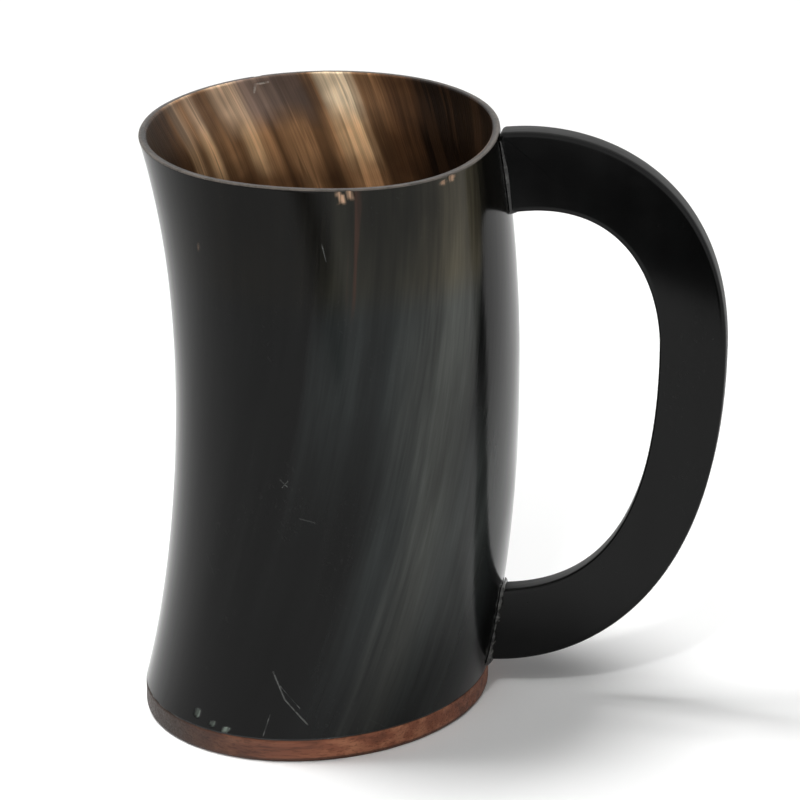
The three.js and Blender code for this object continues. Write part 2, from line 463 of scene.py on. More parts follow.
@dataclass(frozen=True)
class Grain:
    """Fibre grain of one finish: streaks per metre, their share along the fibres, and how far they wander."""

    scale: float
    stretch: float
    wander: float = 0.0

    def lay(self, graph: Graph, fibre: Feed) -> Sockets:
        """Places the grain in a material and returns its outputs."""
        values = {"Scale": self.scale, "Stretch": self.stretch, "Wander": self.wander}
        return graph.group(fibre_grain(), Fibre=fibre, **values)


@functools.cache
def fine_scratches() -> NodeTree:
    """Builds the hairline scratches of handling and sanding, in two slanting directions.

    Returns:
        A group that takes Place, Scale and Amount, and gives Mask.
    """
    effect = Effect("fine_scratches", ("Place",), ("Scale", "Amount"))
    graph, given = effect.graph, effect.given
    leans = (((0.5, 0.3, 0.8), 0.0), ((-0.9, 0.4, 0.35), 5.0))
    drawn_out = (1.0, 1.0, 0.008)
    thin = (0.68, 0.74)
    patches = (0.52, 0.64)
    patch_scale = 60.0
    layers = []
    for lean, part in leans:
        turned = graph.node("ShaderNodeVectorRotate", rotation_type="EULER_XYZ")
        graph.feed(turned.inputs["Vector"], given["Place"])
        graph.feed(turned.inputs["Rotation"], lean)
        long = graph.vector("MULTIPLY", turned.outputs[0], drawn_out)
        moved = graph.vector("ADD", long, (part, part, part))
        line = graph.remap(graph.noise(moved, given["Scale"], detail=1.0), *thin)
        broken = graph.remap(graph.noise(given["Place"], patch_scale, detail=1.0), *patches)
        layers.append(graph.times(line, broken))
    effect.put("Mask", graph.times(graph.most(*layers), given["Amount"]))
    return effect.tree


@functools.cache
def dust_specks() -> NodeTree:
    """Builds scattered specks of dust and polish.

    Returns:
        A group that takes Place, Scale and Share, the share of cells with a speck, and gives Mask.
    """
    effect = Effect("dust_specks", ("Place",), ("Scale", "Share"))
    graph, given = effect.graph, effect.given
    cells = graph.node("ShaderNodeTexVoronoi")
    graph.feed(cells.inputs["Vector"], given["Place"])
    graph.feed(cells.inputs["Scale"], given["Scale"])
    chosen = graph.math("LESS_THAN", graph.part(cells.outputs["Color"], "X"), given["Share"])
    least_size, size_range = 0.04, 0.12
    size = graph.scaled(graph.part(cells.outputs["Color"], "Y"), size_range, least_size)
    inside = graph.math("LESS_THAN", cells.outputs["Distance"], size)
    effect.put("Mask", graph.times(chosen, inside))
    return effect.tree


@functools.cache
def edge_wear() -> NodeTree:
    """Builds wear that breaks up along edges.

    Returns:
        A group that takes Edge, Place and Scale, and gives Mask.
    """
    effect = Effect("edge_wear", ("Place",), ("Edge", "Scale"))
    graph, given = effect.graph, effect.given
    broken = graph.noise(given["Place"], given["Scale"], detail=4.0, rough=0.65)
    reach = graph.plus(given["Edge"], graph.minus(broken, NOISE_MIDDLE))
    worn = (0.45, 0.8)
    effect.put("Mask", graph.times(graph.remap(reach, *worn), given["Edge"]))
    return effect.tree


@functools.cache
def scratch_mark() -> NodeTree:
    """Builds one deep scratch between two points.

    Returns:
        A group that takes Place, From, To and Width, and gives Mask.
    """
    effect = Effect("scratch_mark", ("Place", "From", "To"), ("Width",))
    graph, given = effect.graph, effect.given
    span = graph.vector("SUBTRACT", given["To"], given["From"])
    away = graph.vector("SUBTRACT", given["Place"], given["From"])
    along = graph.math(
        "DIVIDE",
        graph.vector("DOT_PRODUCT", away, span),
        graph.vector("DOT_PRODUCT", span, span),
    )
    held = graph.math("MINIMUM", graph.most(along, 0.0), 1.0)
    nearest = graph.vector("SCALE", span, scale=held)
    apart = graph.vector("LENGTH", graph.vector("SUBTRACT", away, nearest))
    crumb_scale = 700.0
    crumbs = (0.35, 0.6)
    full_width = 0.4
    faintest = 0.3
    broken = graph.remap(graph.noise(given["Place"], crumb_scale, detail=2.0), *crumbs)
    line = graph.remap(graph.math("DIVIDE", apart, given["Width"]), full_width, 1.0, 1.0, 0.0)
    effect.put("Mask", graph.times(line, graph.scaled(broken, 1 - faintest, faintest)))
    return effect.tree


@dataclass(frozen=True)
class Paint:
    """A material in the making: its tree, its shader and its output."""

    material: Material
    graph: Graph
    shader: Node
    output: Node

    @classmethod
    def start(cls, name: str, **plain: float | Colour) -> tuple["Paint", Graph, NodeSocket]:
        """Starts a material.

        Args:
            name: Name of the material.
            plain: Shader values that are the same all over, by their socket's name with _ for a space.

        Returns:
            The material with its shader and output, its tree, and the place on the piece.
        """
        material = bpy.data.materials.new(name)
        material.use_nodes = True
        material.node_tree.nodes.clear()
        graph = Graph(material.node_tree)
        shader = graph.node("ShaderNodeBsdfPrincipled")
        paint = cls(material, graph, shader, graph.node("ShaderNodeOutputMaterial"))
        paint.show(shader.outputs["BSDF"])
        for key, value in plain.items():
            paint.set(key.replace("_", " "), value)
        return paint, graph, graph.here()

    def set(self, socket: str, value: Feed) -> None:
        """Feeds one of the shader's inputs."""
        self.graph.feed(self.shader.inputs[socket], value)

    def show(self, surface: NodeSocket) -> None:
        """Joins a shader to the material's surface."""
        self.graph.feed(self.output.inputs["Surface"], surface)


def by_degrees(*places: tuple[float, Colour]) -> Stops:
    """Returns colours placed by degrees, from -180 to 180, as stops of a ramp."""
    return [(turn_share(degrees), colour) for degrees, colour in places]


@dataclass(frozen=True)
class Scratch:
    """A deep scratch in the polish, between two points on the surface."""

    start: Place
    end: Place
    width: float


def scored_by(graph: Graph, place: Feed, scratches: Sequence[Scratch]) -> NodeSocket:
    """Marks deep scratches.

    Args:
        graph: Tree that they go into.
        place: Place on the piece.
        scratches: The scratches.

    Returns:
        The mask of all of them.
    """
    masks = []
    for scratch in scratches:
        ends = {"From": scratch.start, "To": scratch.end}
        masks.append(graph.group(scratch_mark(), Place=place, Width=scratch.width, **ends)["Mask"])
    return graph.most(*masks)


@dataclass(frozen=True)
class PolishedHorn:
    """Outside of the horn: near black, with cloudy streaks towards the handle, under a glossy polish."""

    black: Colour = (0.0030, 0.0032, 0.0031)
    slate: Colour = (0.0135, 0.0158, 0.0156)
    ash: Colour = (0.0300, 0.0335, 0.0318)
    cloud: Colour = (0.0470, 0.0500, 0.0455)
    olive: Colour = (1.25, 1.04, 0.76)
    russet: Colour = (0.060, 0.027, 0.018)
    scuff: Colour = (0.13, 0.135, 0.13)
    raw_rim: Colour = (0.50, 0.33, 0.22)
    raw_foot: Colour = (0.16, 0.19, 0.165)
    refraction: float = 1.28
    fine_grain: Grain = Grain(230.0, 0.05, 0.045)
    broad_grain: Grain = Grain(60.0, 0.25)
    streak_gain: Span = (0.5, 0.72)
    broad_gain: Span = (0.5, 0.75)
    hair_gain: Span = (0.2, 0.9)
    olive_from: float = 0.116
    olive_full: float = 0.128
    lower_to: float = 0.055
    upper_from: float = 0.105
    foot_fade: tuple[float, ...] = (0.004, 0.062, 0.4, 1.3)
    rim_fade: tuple[float, ...] = (0.122, 0.146, 1.0, 0.65)
    russet_degrees: float = -106.0
    russet_half_width: float = 1.6
    russet_share: float = 0.7
    raw_foot_to: float = 0.03
    raw_rim_from: float = 0.05
    raw_least: float = 0.4
    haze: tuple[float, ...] = (0.35, 0.7, 0.1, 0.17)
    haze_scale: float = 26.0
    hair_dullness: float = 0.03
    scuff_dullness: float = 0.4
    scratch_share: float = 0.7
    speck_share: float = 0.2
    hair_height: float = 0.35
    streak_height: float = 0.5
    scratch_depth: float = 6.0
    hairline_depth: float = 1.5
    relief: float = 0.000012
    scratches: tuple[Scratch, ...] = (
        Scratch((-0.0067, -0.0454, 0.0758), (-0.0049, -0.0459, 0.0742), 0.00022),
        Scratch((-0.0047, -0.0459, 0.0757), (-0.0062, -0.0455, 0.0738), 0.00018),
        Scratch((-0.0018, -0.0465, 0.0660), (0.0019, -0.0468, 0.0651), 0.00022),
        Scratch((-0.0088, -0.0464, 0.0245), (-0.0059, -0.0469, 0.0172), 0.00028),
        Scratch((-0.0059, -0.0469, 0.0172), (-0.0002, -0.0470, 0.0104), 0.00030),
        Scratch((-0.0070, -0.0467, 0.0208), (-0.0022, -0.0470, 0.0150), 0.00020),
        Scratch((-0.0097, -0.0468, 0.0129), (-0.0115, -0.0468, 0.0070), 0.00024),
        Scratch((0.0041, -0.0476, 0.1379), (0.0051, -0.0475, 0.1335), 0.00018),
    )

    def upper_stops(self) -> Stops:
        """Returns the colours round the upper half, by the degrees of their fibres."""
        return by_degrees(
            (-180, self.black), (-122, self.black), (-110, self.slate), (-92, self.slate),
            (-71, self.cloud), (-63, self.cloud), (-56, self.black), (35, self.black), (62, self.slate),
            (80, self.ash), (98, self.black), (124, self.slate), (146, self.black), (180, self.black),
        )

    def lower_stops(self) -> Stops:
        """Returns the colours round the lower half, by the degrees of their fibres."""
        return by_degrees(
            (-180, self.black), (-95, self.black), (-80, self.slate), (-67, self.cloud), (-56, self.ash),
            (-42, self.ash), (-32, self.slate), (-22, self.black), (40, self.black), (70, self.ash),
            (84, self.cloud), (104, self.black), (132, self.slate), (150, self.black), (180, self.black),
        )

    def material(self) -> Material:
        """Builds the material.

        Returns:
            The polished horn, which reads the fibre and chip marks.
        """
        paint, graph, place = Paint.start("polished_horn_outside", IOR=self.refraction)
        fibre = graph.mark(Mark.FIBRE)["Vector"]
        chip = graph.mark(Mark.CHIP)["Fac"]
        grain = self.fine_grain.lay(graph, fibre)
        broad = self.broad_grain.lay(graph, fibre)["Streak"]
        height = graph.part(place, "Z")
        upper = graph.remap(height, self.lower_to, self.upper_from)
        turn = grain["Turn"]
        tone = graph.mix(upper, graph.ramp(turn, self.lower_stops()), graph.ramp(turn, self.upper_stops()))
        warm = graph.remap(height, self.olive_from, self.olive_full)
        tone = graph.mix(warm, tone, graph.vector("MULTIPLY", tone, self.olive))
        strength = graph.times(
            graph.scaled(grain["Streak"], *self.streak_gain),
            graph.scaled(broad, *self.broad_gain),
            graph.scaled(grain["Hair"], *self.hair_gain),
            graph.remap(height, *self.foot_fade),
            graph.remap(height, *self.rim_fade),
        )
        tone = graph.tint(tone, strength)
        off_line = graph.math("ABSOLUTE", graph.minus(turn, turn_share(self.russet_degrees)))
        line = graph.remap(off_line, 0.0, self.russet_half_width / 360, 1.0, 0.0)
        tone = graph.mix(graph.times(line, warm, self.russet_share), tone, self.russet)
        scored = scored_by(graph, place, self.scratches)
        hairline = graph.group(fine_scratches(), Place=place, Scale=1400.0, Amount=0.05)["Mask"]
        speck = graph.group(dust_specks(), Place=place, Scale=160.0, Share=0.004)["Mask"]
        scuffed = graph.most(
            graph.times(scored, self.scratch_share), hairline, graph.times(speck, self.speck_share)
        )
        tone = graph.mix(scuffed, tone, self.scuff)
        low = graph.remap(height, self.raw_foot_to, self.raw_rim_from, 1.0, 0.0)
        streaky = graph.plus(grain["Hair"], self.raw_least)
        raw = graph.tint(graph.mix(low, self.raw_rim, self.raw_foot), streaky)
        paint.set("Base Color", graph.mix(chip, tone, raw))
        rough = graph.plus(
            graph.remap(graph.noise(place, self.haze_scale, detail=3.0), *self.haze),
            graph.times(grain["Hair"], self.hair_dullness),
            graph.times(graph.most(chip, scuffed), self.scuff_dullness),
        )
        paint.set("Roughness", rough)
        streaks = graph.times(grain["Streak"], self.streak_height)
        relief = graph.scaled(grain["Hair"], self.hair_height, streaks)
        relief = graph.minus(relief, graph.times(scored, self.scratch_depth))
        relief = graph.minus(relief, graph.times(hairline, self.hairline_depth))
        paint.set("Normal", graph.bump(relief, self.relief))
        return paint.material


@dataclass(frozen=True)
class InsideHorn:
    """Inside of the horn: cream and tan streaks leaning through brown and black, with painted shade low down.
    """

    soot: Colour = (0.007, 0.0040, 0.0026)
    umber: Colour = (0.080, 0.038, 0.017)
    brown: Colour = (0.195, 0.100, 0.046)
    dusk: Colour = (0.125, 0.085, 0.066)
    taupe: Colour = (0.235, 0.160, 0.122)
    honey: Colour = (0.460, 0.245, 0.115)
    fawn: Colour = (0.66, 0.45, 0.29)
    glow: Colour = (0.88, 0.55, 0.29)
    cream: Colour = (0.93, 0.72, 0.48)
    nick: Colour = (0.42, 0.36, 0.31)
    gap: Colour = (0.040, 0.020, 0.010)
    fine_grain: Grain = Grain(380.0, 0.03, 0.016)
    broad_grain: Grain = Grain(190.0, 0.05, 0.016)
    streak_gain: Span = (0.65, 0.68)
    hair_gain: Span = (0.2, 0.9)
    gap_share: float = 0.45
    gap_full: float = 0.30
    gap_none: float = 0.46
    stain_scale: float = 75.0
    stained: Span = (0.5, 0.66)
    stain_share: float = 0.25
    nick_share: float = 0.8
    nick_depth: float = 4.0
    dullness: Span = (0.15, 0.32)
    relief: float = 0.00003
    refraction: float = 1.34
    deep_shade_to: float = 0.125
    lower_from: float = 0.134
    lower_to: float = 0.137
    upper_from: float = 0.146
    ragged: float = 0.006
    ragged_scale: float = 90.0
    nicks: tuple[Scratch, ...] = (
        Scratch((-0.0177, 0.0395, 0.1490), (-0.0174, 0.0401, 0.1509), 0.0005),
        Scratch((-0.0174, 0.0401, 0.1509), (-0.0142, 0.0418, 0.1510), 0.0004),
    )

    def upper_stops(self) -> Stops:
        """Returns the colours under the rim, by the degrees of their fibres."""
        return by_degrees(
            (-180, self.soot), (-120, self.umber), (-95, self.soot), (-60, self.umber), (-40, self.soot),
            (17, self.soot), (25, self.umber), (32, self.umber), (36, self.brown), (41, self.honey),
            (46, self.cream), (53, self.cream), (58, self.brown), (63, self.dusk), (68, self.dusk),
            (75, self.taupe), (82, self.taupe), (88, self.fawn), (93, self.fawn), (98, self.brown),
            (102, self.brown), (106, self.fawn), (110, self.honey), (115, self.fawn), (119, self.brown),
            (123, self.umber), (138, self.soot), (180, self.soot),
        )

    def lower_stops(self) -> Stops:
        """Returns the colours a finger's width down, by the degrees of their fibres."""
        return by_degrees(
            (-180, self.soot), (-120, self.umber), (-95, self.soot), (20, self.soot), (30, self.umber),
            (36, self.umber), (41, self.brown), (47, self.glow), (54, self.glow), (58, self.honey),
            (63, self.brown), (68, self.honey), (73, self.honey), (78, self.brown), (83, self.honey),
            (88, self.glow), (93, self.brown), (98, self.honey), (102, self.brown), (106, self.glow),
            (111, self.brown), (115, self.glow), (119, self.umber), (132, self.soot), (180, self.soot),
        )

    def shaded_deep_stops(self) -> Stops:
        """Returns the darker colours of the painted shade further down, by the degrees of their fibres."""
        return by_degrees(
            (-180, self.soot), (-95, self.umber), (-60, self.soot), (20, self.soot), (38, self.umber),
            (43, self.brown), (48, self.honey), (53, self.honey), (58, self.brown), (63, self.umber),
            (68, self.brown), (72, self.honey), (77, self.umber), (88, self.brown), (94, self.umber),
            (130, self.soot), (180, self.soot),
        )

    def material(self) -> Material:
        """Builds the material.

        Returns:
            The streaked horn, which reads the fibre mark.
        """
        paint, graph, place = Paint.start("waxed_horn_inside", IOR=self.refraction)
        fibre = graph.mark(Mark.FIBRE)["Vector"]
        grain = self.fine_grain.lay(graph, fibre)
        turn = grain["Turn"]
        uneven = graph.minus(graph.noise(place, self.ragged_scale), NOISE_MIDDLE)
        height = graph.scaled(uneven, self.ragged, graph.part(place, "Z"))
        # Painted shade: further down, the darker deep ramp takes over from the lower one
        tone = graph.mix(
            graph.remap(height, self.deep_shade_to, self.lower_from),
            graph.ramp(turn, self.shaded_deep_stops()),
            graph.ramp(turn, self.lower_stops()),
        )
        tone = graph.mix(
            graph.remap(height, self.lower_to, self.upper_from), tone, graph.ramp(turn, self.upper_stops())
        )
        strength = graph.times(
            graph.scaled(grain["Streak"], *self.streak_gain),
            graph.scaled(grain["Hair"], *self.hair_gain),
        )
        tone = graph.tint(tone, strength)
        broad = self.broad_grain.lay(graph, fibre)["Streak"]
        gaps = graph.remap(broad, self.gap_full, self.gap_none, self.gap_share, 0.0)
        tone = graph.mix(gaps, tone, self.gap)
        cloudy = graph.noise(place, self.stain_scale, detail=2.0)
        stain = graph.remap(cloudy, *self.stained, 0.0, self.stain_share)
        tone = graph.mix(stain, tone, self.soot)
        nicked = scored_by(graph, place, self.nicks)
        paint.set("Base Color", graph.mix(graph.times(nicked, self.nick_share), tone, self.nick))
        paint.set("Roughness", graph.scaled(grain["Hair"], *self.dullness))
        relief = graph.minus(grain["Hair"], graph.times(nicked, self.nick_depth))
        paint.set("Normal", graph.bump(relief, self.relief))
        return paint.material


@dataclass(frozen=True)
class SandedRim:
    """Cut end of the horn: sanded dull, with its outer edge worn pale."""

    dull: Colour = (0.016, 0.015, 0.014)
    layer: Colour = (0.045, 0.040, 0.035)
    worn: Colour = (0.17, 0.145, 0.125)
    refraction: float = 1.33
    layer_scale: float = 900.0
    layered: Span = (0.35, 0.65)
    wear_share: float = 0.6
    dullness: Span = (0.3, 0.5)
    relief: float = 0.00004

    def material(self) -> Material:
        """Builds the material.

        Returns:
            The sanded rim, which reads the edge and chip marks.
        """
        paint, graph, place = Paint.start("sanded_horn_rim", IOR=self.refraction)
        edge = graph.mark(Mark.EDGE)["Fac"]
        chip = graph.mark(Mark.CHIP)["Fac"]
        layers = graph.noise(place, self.layer_scale, detail=3.0, rough=0.6)
        tone = graph.mix(graph.remap(layers, *self.layered), self.dull, self.layer)
        worn = graph.group(edge_wear(), Edge=edge, Place=place, Scale=180.0)["Mask"]
        worn = graph.most(graph.times(worn, self.wear_share), chip)
        paint.set("Base Color", graph.mix(worn, tone, self.worn))
        paint.set("Roughness", graph.remap(layers, *NOISE_SPAN, *self.dullness))
        paint.set("Normal", graph.bump(layers, self.relief))
        return paint.material


@dataclass(frozen=True)
class SawnHorn:
    """Flat plate of jet horn: mirror-flat faces, and edges that keep the marks of the sanding belt."""

    plate_facing: Place
    jet: Colour = (0.0022, 0.0023, 0.0023)
    streak: Colour = (0.0034, 0.0037, 0.0036)
    sanded: Colour = (0.012, 0.012, 0.0115)
    speck: Colour = (0.13, 0.135, 0.13)
    refraction: float = 1.3
    grain: Grain = Grain(120.0, 0.12)
    edge_facing: Span = (0.55, 0.85)
    edge_share: float = 0.8
    speck_share: float = 0.2
    haze: tuple[float, ...] = (0.3, 0.7, 0.07, 0.14)
    haze_scale: float = 40.0
    belt_scale: float = 900.0
    belt_dullness: Span = (0.25, 0.22)
    hairline_dullness: float = 0.3
    hair_height: float = 0.04
    belt_stretch: Place = (0.2, 3.0, 0.2)
    relief: float = 0.00002

    def material(self) -> Material:
        """Builds the material.

        Returns:
            The handle's horn. The plate's facing tells its faces from its edges.
        """
        paint, graph, place = Paint.start("sawn_horn_plate", IOR=self.refraction)
        grain = self.grain.lay(graph, place)
        flat = graph.vector("DOT_PRODUCT", graph.facing(), self.plate_facing)
        edge = graph.remap(graph.math("ABSOLUTE", flat), *self.edge_facing, 1.0, 0.0)
        specks = graph.group(dust_specks(), Place=place, Scale=170.0, Share=0.012)["Mask"]
        hairline = graph.group(fine_scratches(), Place=place, Scale=1400.0, Amount=0.03)["Mask"]
        tone = graph.mix(grain["Streak"], self.jet, self.streak)
        tone = graph.mix(graph.times(edge, self.edge_share), tone, self.sanded)
        marked = graph.most(graph.times(specks, self.speck_share), hairline)
        paint.set("Base Color", graph.mix(marked, tone, self.speck))
        belt = graph.noise(graph.vector("MULTIPLY", place, self.belt_stretch), self.belt_scale, detail=3.0)
        rough = graph.plus(
            graph.remap(graph.noise(place, self.haze_scale, detail=3.0), *self.haze),
            graph.times(edge, graph.scaled(belt, *self.belt_dullness)),
            graph.times(hairline, self.hairline_dullness),
        )
        paint.set("Roughness", rough)
        relief = graph.scaled(grain["Hair"], self.hair_height, graph.times(edge, belt))
        paint.set("Normal", graph.bump(relief, self.relief))
        return paint.material


@dataclass(frozen=True)
class OiledWood:
    """Reddish oiled hardwood, grained towards the handle and darkened by painted shade away from it."""

    dark: Colour = (0.105, 0.036, 0.020)
    ruddy: Colour = (0.245, 0.083, 0.042)
    pale: Colour = (0.420, 0.172, 0.090)
    pore: Colour = (0.045, 0.017, 0.011)
    # Painted shade and dirt share this dark colour
    shade_and_grime: Colour = (0.024, 0.016, 0.012)
    refraction: float = 1.38
    fine_grain: Grain = Grain(330.0, 0.07)
    broad_grain: Grain = Grain(70.0, 0.2)
    fine_share: float = 0.65
    broad_share: float = 0.35
    ruddy_at: float = 0.45
    pores: tuple[float, ...] = (0.12, 0.3, 0.35, 0.0)
    rubbed_share: float = 0.7
    dullness: Span = (0.62, 0.42)
    hair_height: float = 0.5
    shaded_to: float = -0.038
    unshaded_from: float = 0.008
    shade_share: float = 0.97
    relief: float = 0.00006

    def material(self) -> Material:
        """Builds the material.

        Returns:
            The wood, which reads the edge mark.
        """
        paint, graph, place = Paint.start("oiled_red_wood", IOR=self.refraction)
        along = graph.join(graph.part(place, "Y"), graph.part(place, "Z"), graph.part(place, "X"))
        grain = self.fine_grain.lay(graph, along)
        board = self.broad_grain.lay(graph, along)["Streak"]
        tone = graph.ramp(
            graph.scaled(grain["Streak"], self.fine_share, graph.times(board, self.broad_share)),
            ((0.0, self.dark), (self.ruddy_at, self.ruddy), (1.0, self.pale)),
        )
        pores = graph.remap(grain["Hair"], *self.pores)
        tone = graph.mix(pores, tone, self.pore)
        # Painted shade darkens the side away from the handle; rubbed edges get the same colour as dirt
        left = graph.remap(graph.part(place, "X"), self.shaded_to, self.unshaded_from, self.shade_share, 0.0)
        edge = graph.mark(Mark.EDGE)["Fac"]
        rubbed = graph.group(edge_wear(), Edge=edge, Place=place, Scale=300.0)["Mask"]
        shade_and_grime_mask = graph.most(left, graph.times(rubbed, self.rubbed_share))
        paint.set("Base Color", graph.mix(shade_and_grime_mask, tone, self.shade_and_grime))
        paint.set("Roughness", graph.remap(grain["Hair"], 0.0, 1.0, *self.dullness))
        relief = graph.scaled(grain["Hair"], self.hair_height, grain["Streak"])
        paint.set("Normal", graph.bump(relief, self.relief))
        return paint.material


@dataclass(frozen=True)
class ClearGlue:
    """Hard clear glue over black horn: dark and wet-looking, with frosted patches."""

    clear: Colour = (0.012, 0.012, 0.011)
    frost: Colour = (0.15, 0.15, 0.14)
    name: str = "clear_glue"
    frost_from: float = 0.48
    frost_full: float = 0.85
    frost_scale: float = 420.0
    speck_share: float = 0.6
    refraction: float = 1.5
    dullness: Span = (0.25, 0.1)
    lump_scale: float = 600.0
    relief: float = 0.00008

    def material(self) -> Material:
        """Builds the material.

        Returns:
            The glue.
        """
        paint, graph, place = Paint.start(self.name, IOR=self.refraction)
        cloudy = graph.noise(place, self.frost_scale, detail=3.0, rough=0.6)
        frost = graph.remap(cloudy, self.frost_from, self.frost_full)
        specks = graph.group(dust_specks(), Place=place, Scale=900.0, Share=0.04)["Mask"]
        frost = graph.most(frost, graph.times(specks, self.speck_share))
        paint.set("Base Color", graph.mix(frost, self.clear, self.frost))
        paint.set("Roughness", graph.scaled(frost, *self.dullness))
        paint.set("Normal", graph.bump(graph.noise(place, self.lump_scale, detail=2.0), self.relief))
        return paint.material


@dataclass(frozen=True)
class AmberResin:
    """Poured amber resin, mottled deep and pale, with a few trapped bubbles."""

    amber: Colour = (0.115, 0.055, 0.018)
    deep: Colour = (0.030, 0.014, 0.006)
    bubble: Colour = (0.22, 0.14, 0.07)
    refraction: float = 1.5
    flow_scale: float = 55.0
    flowing: Span = (0.35, 0.65)
    bubble_share: float = 0.6
    dullness: Span = (0.12, 0.22)
    wave_scale: float = 120.0
    relief: float = 0.00015

    def material(self) -> Material:
        """Builds the material.

        Returns:
            The resin.
        """
        paint, graph, place = Paint.start("amber_resin", IOR=self.refraction)
        flow = graph.remap(graph.noise(place, self.flow_scale, detail=3.0), *self.flowing)
        tone = graph.mix(flow, self.deep, self.amber)
        bubbles = graph.group(dust_specks(), Place=place, Scale=320.0, Share=0.06)["Mask"]
        paint.set("Base Color", graph.mix(graph.times(bubbles, self.bubble_share), tone, self.bubble))
        paint.set("Roughness", graph.remap(flow, 0.0, 1.0, *self.dullness))
        paint.set("Normal", graph.bump(graph.noise(place, self.wave_scale, detail=1.0), self.relief))
        return paint.material


@dataclass(frozen=True)
class SteelPin:
    """Drawn steel dowel with fine lengthwise marks."""

    bright: Colour = (0.45, 0.45, 0.44)
    dull: Colour = (0.24, 0.23, 0.22)
    drawn: Place = (0.05, 1.0, 1.0)
    mark_scale: float = 4000.0
    dullness: Span = (0.3, 0.5)

    def material(self) -> Material:
        """Builds the material.

        Returns:
            The steel.
        """
        paint, graph, place = Paint.start("drawn_steel", Metallic=1.0)
        marks = graph.noise(graph.vector("MULTIPLY", place, self.drawn), self.mark_scale)
        hairline = graph.group(fine_scratches(), Place=place, Scale=1500.0, Amount=0.5)["Mask"]
        paint.set("Base Color", graph.mix(graph.most(marks, hairline), self.dull, self.bright))
        paint.set("Roughness", graph.remap(marks, *NOISE_SPAN, *self.dullness))
        return paint.material


@dataclass(frozen=True)
class Section:
    """Oval section of the horn: its middle, half axes and sideways lean."""

    middle: float
    across: float
    deep: float
    skew: float

    def point(self, angle: float, z: float, inset: float) -> Vector:
        """Returns the point at an angle and height, set in from the outside."""
        y = (self.deep - inset) * math.sin(angle)
        return Vector((self.middle + (self.across - inset) * math.cos(angle) + self.skew * y, y, z))


@dataclass(frozen=True)
class HornShape:
    """Outside of the bowed horn and its wall, which every piece that touches it follows."""

    height: float = 0.152
    base_thickness: float = 0.006
    glue_film: float = 0.0004
    widths: tuple[float, ...] = (0.0875, 0.0869, 0.0867, 0.0873, 0.0897)
    bows: tuple[float, ...] = (0.0, 0.006, 0.0081, 0.0069, 0.0012)
    oval: float = 1.08
    foot_skew: float = 0.12
    rim_skew: float = 0.06
    wall: float = 0.004
    rim_wall: float = 0.002
    lip_taper: float = 0.016
    fit_gap: float = 0.0003

    @property
    def bottom(self) -> float:
        """Height of the horn's cut lower end."""
        return self.base_thickness + self.glue_film

    def section(self, z: float) -> Section:
        """Finds the section at a height.

        Args:
            z: The height. The base under the horn keeps the horn's lowest section.

        Returns:
            The section.
        """
        share = max(0.0, z - self.base_thickness) / (self.height - self.base_thickness)
        across = through(self.widths, share) / 2
        skew = lerp(self.foot_skew, self.rim_skew, share)
        return Section(through(self.bows, share), across, self.oval * across, skew)

    def wall_at(self, z: float) -> float:
        """Returns the wall at a height, eased to the thin rim over the lip."""
        return lerp(self.wall, self.rim_wall, smooth(self.height - self.lip_taper, self.height, z))


class RingSkin:
    """A skin over rings of points that all have the same count, with marks at its points."""

    def __init__(self, count: int) -> None:
        """Starts with no rings.

        Args:
            count: Points in each ring.
        """
        self.count = count
        self.points: list[Vector] = []
        self.bands: list[int] = []
        self.marks: dict[Mark, list[float | Vector]] = {}

    def add(self, ring: Sequence[Vector], band: int = 0, **marks: Sequence[float | Vector]) -> None:
        """Adds a ring.

        Args:
            ring: Its points.
            band: Material slot of the band from this ring to the next.
            marks: Values at its points, by the lower-case name of their mark.
        """
        self.points.extend(ring)
        self.bands.append(band)
        for name, values in marks.items():
            self.marks.setdefault(Mark[name.upper()], []).extend(values)

    def faces(self, closed: bool) -> list[tuple[int, ...]]:
        """Lists the faces between the rings.

        Args:
            closed: Whether the last ring joins the first. Otherwise each end is closed by one flat face.

        Returns:
            The corners of each face.
        """
        total = len(self.bands)
        made: list[tuple[int, ...]] = []
        for r in range(total if closed else total - 1):
            low, high = r * self.count, (r + 1) % total * self.count
            for i in range(self.count):
                after = (i + 1) % self.count
                made.append((low + i, low + after, high + after, high + i))
        if not closed:
            made.append(tuple(reversed(range(self.count))))
            made.append(tuple(range((total - 1) * self.count, total * self.count)))
        return made

    def build(self, name: str, closed: bool, finishes: Sequence[Material], crease: float = 50.0) -> Object:
        """Makes the object.

        Args:
            name: Name of the piece.
            closed: Whether the last ring joins the first.
            finishes: Materials, in the order of their slots.
            crease: Angle in degrees from which an edge stays sharp.

        Returns:
            The object, at the origin of the shared frame.
        """
        mesh = bpy.data.meshes.new(name)
        faces = self.faces(closed)
        mesh.from_pydata(self.points, [], faces)
        for mark, values in self.marks.items():
            if isinstance(values[0], Vector):
                data = mesh.attributes.new(mark.value, "FLOAT_VECTOR", "POINT").data
                data.foreach_set("vector", [number for value in values for number in value])
            else:
                mesh.attributes.new(mark.value, "FLOAT", "POINT").data.foreach_set("value", values)
        slots = [band for band in self.bands for _ in range(self.count)][:len(faces)]
        mesh.polygons.foreach_set("material_index", slots + [0] * (len(faces) - len(slots)))
        return piece(name, mesh, finishes, crease)


def link(name: str, data: bpy.types.ID) -> Object:
    """Makes an object and links it to the scene.

    Args:
        name: Name of the object.
        data: Its mesh, lamp or camera.

    Returns:
        The object.
    """
    made = bpy.data.objects.new(name, data)
    bpy.context.scene.collection.objects.link(made)
    return made


def look(made: Object, place: Place, target: Place) -> None:
    """Puts a lamp or a camera at a place and turns it to a target."""
    made.location = place
    made.rotation_euler = (Vector(target) - Vector(place)).to_track_quat("-Z", "Y").to_euler()


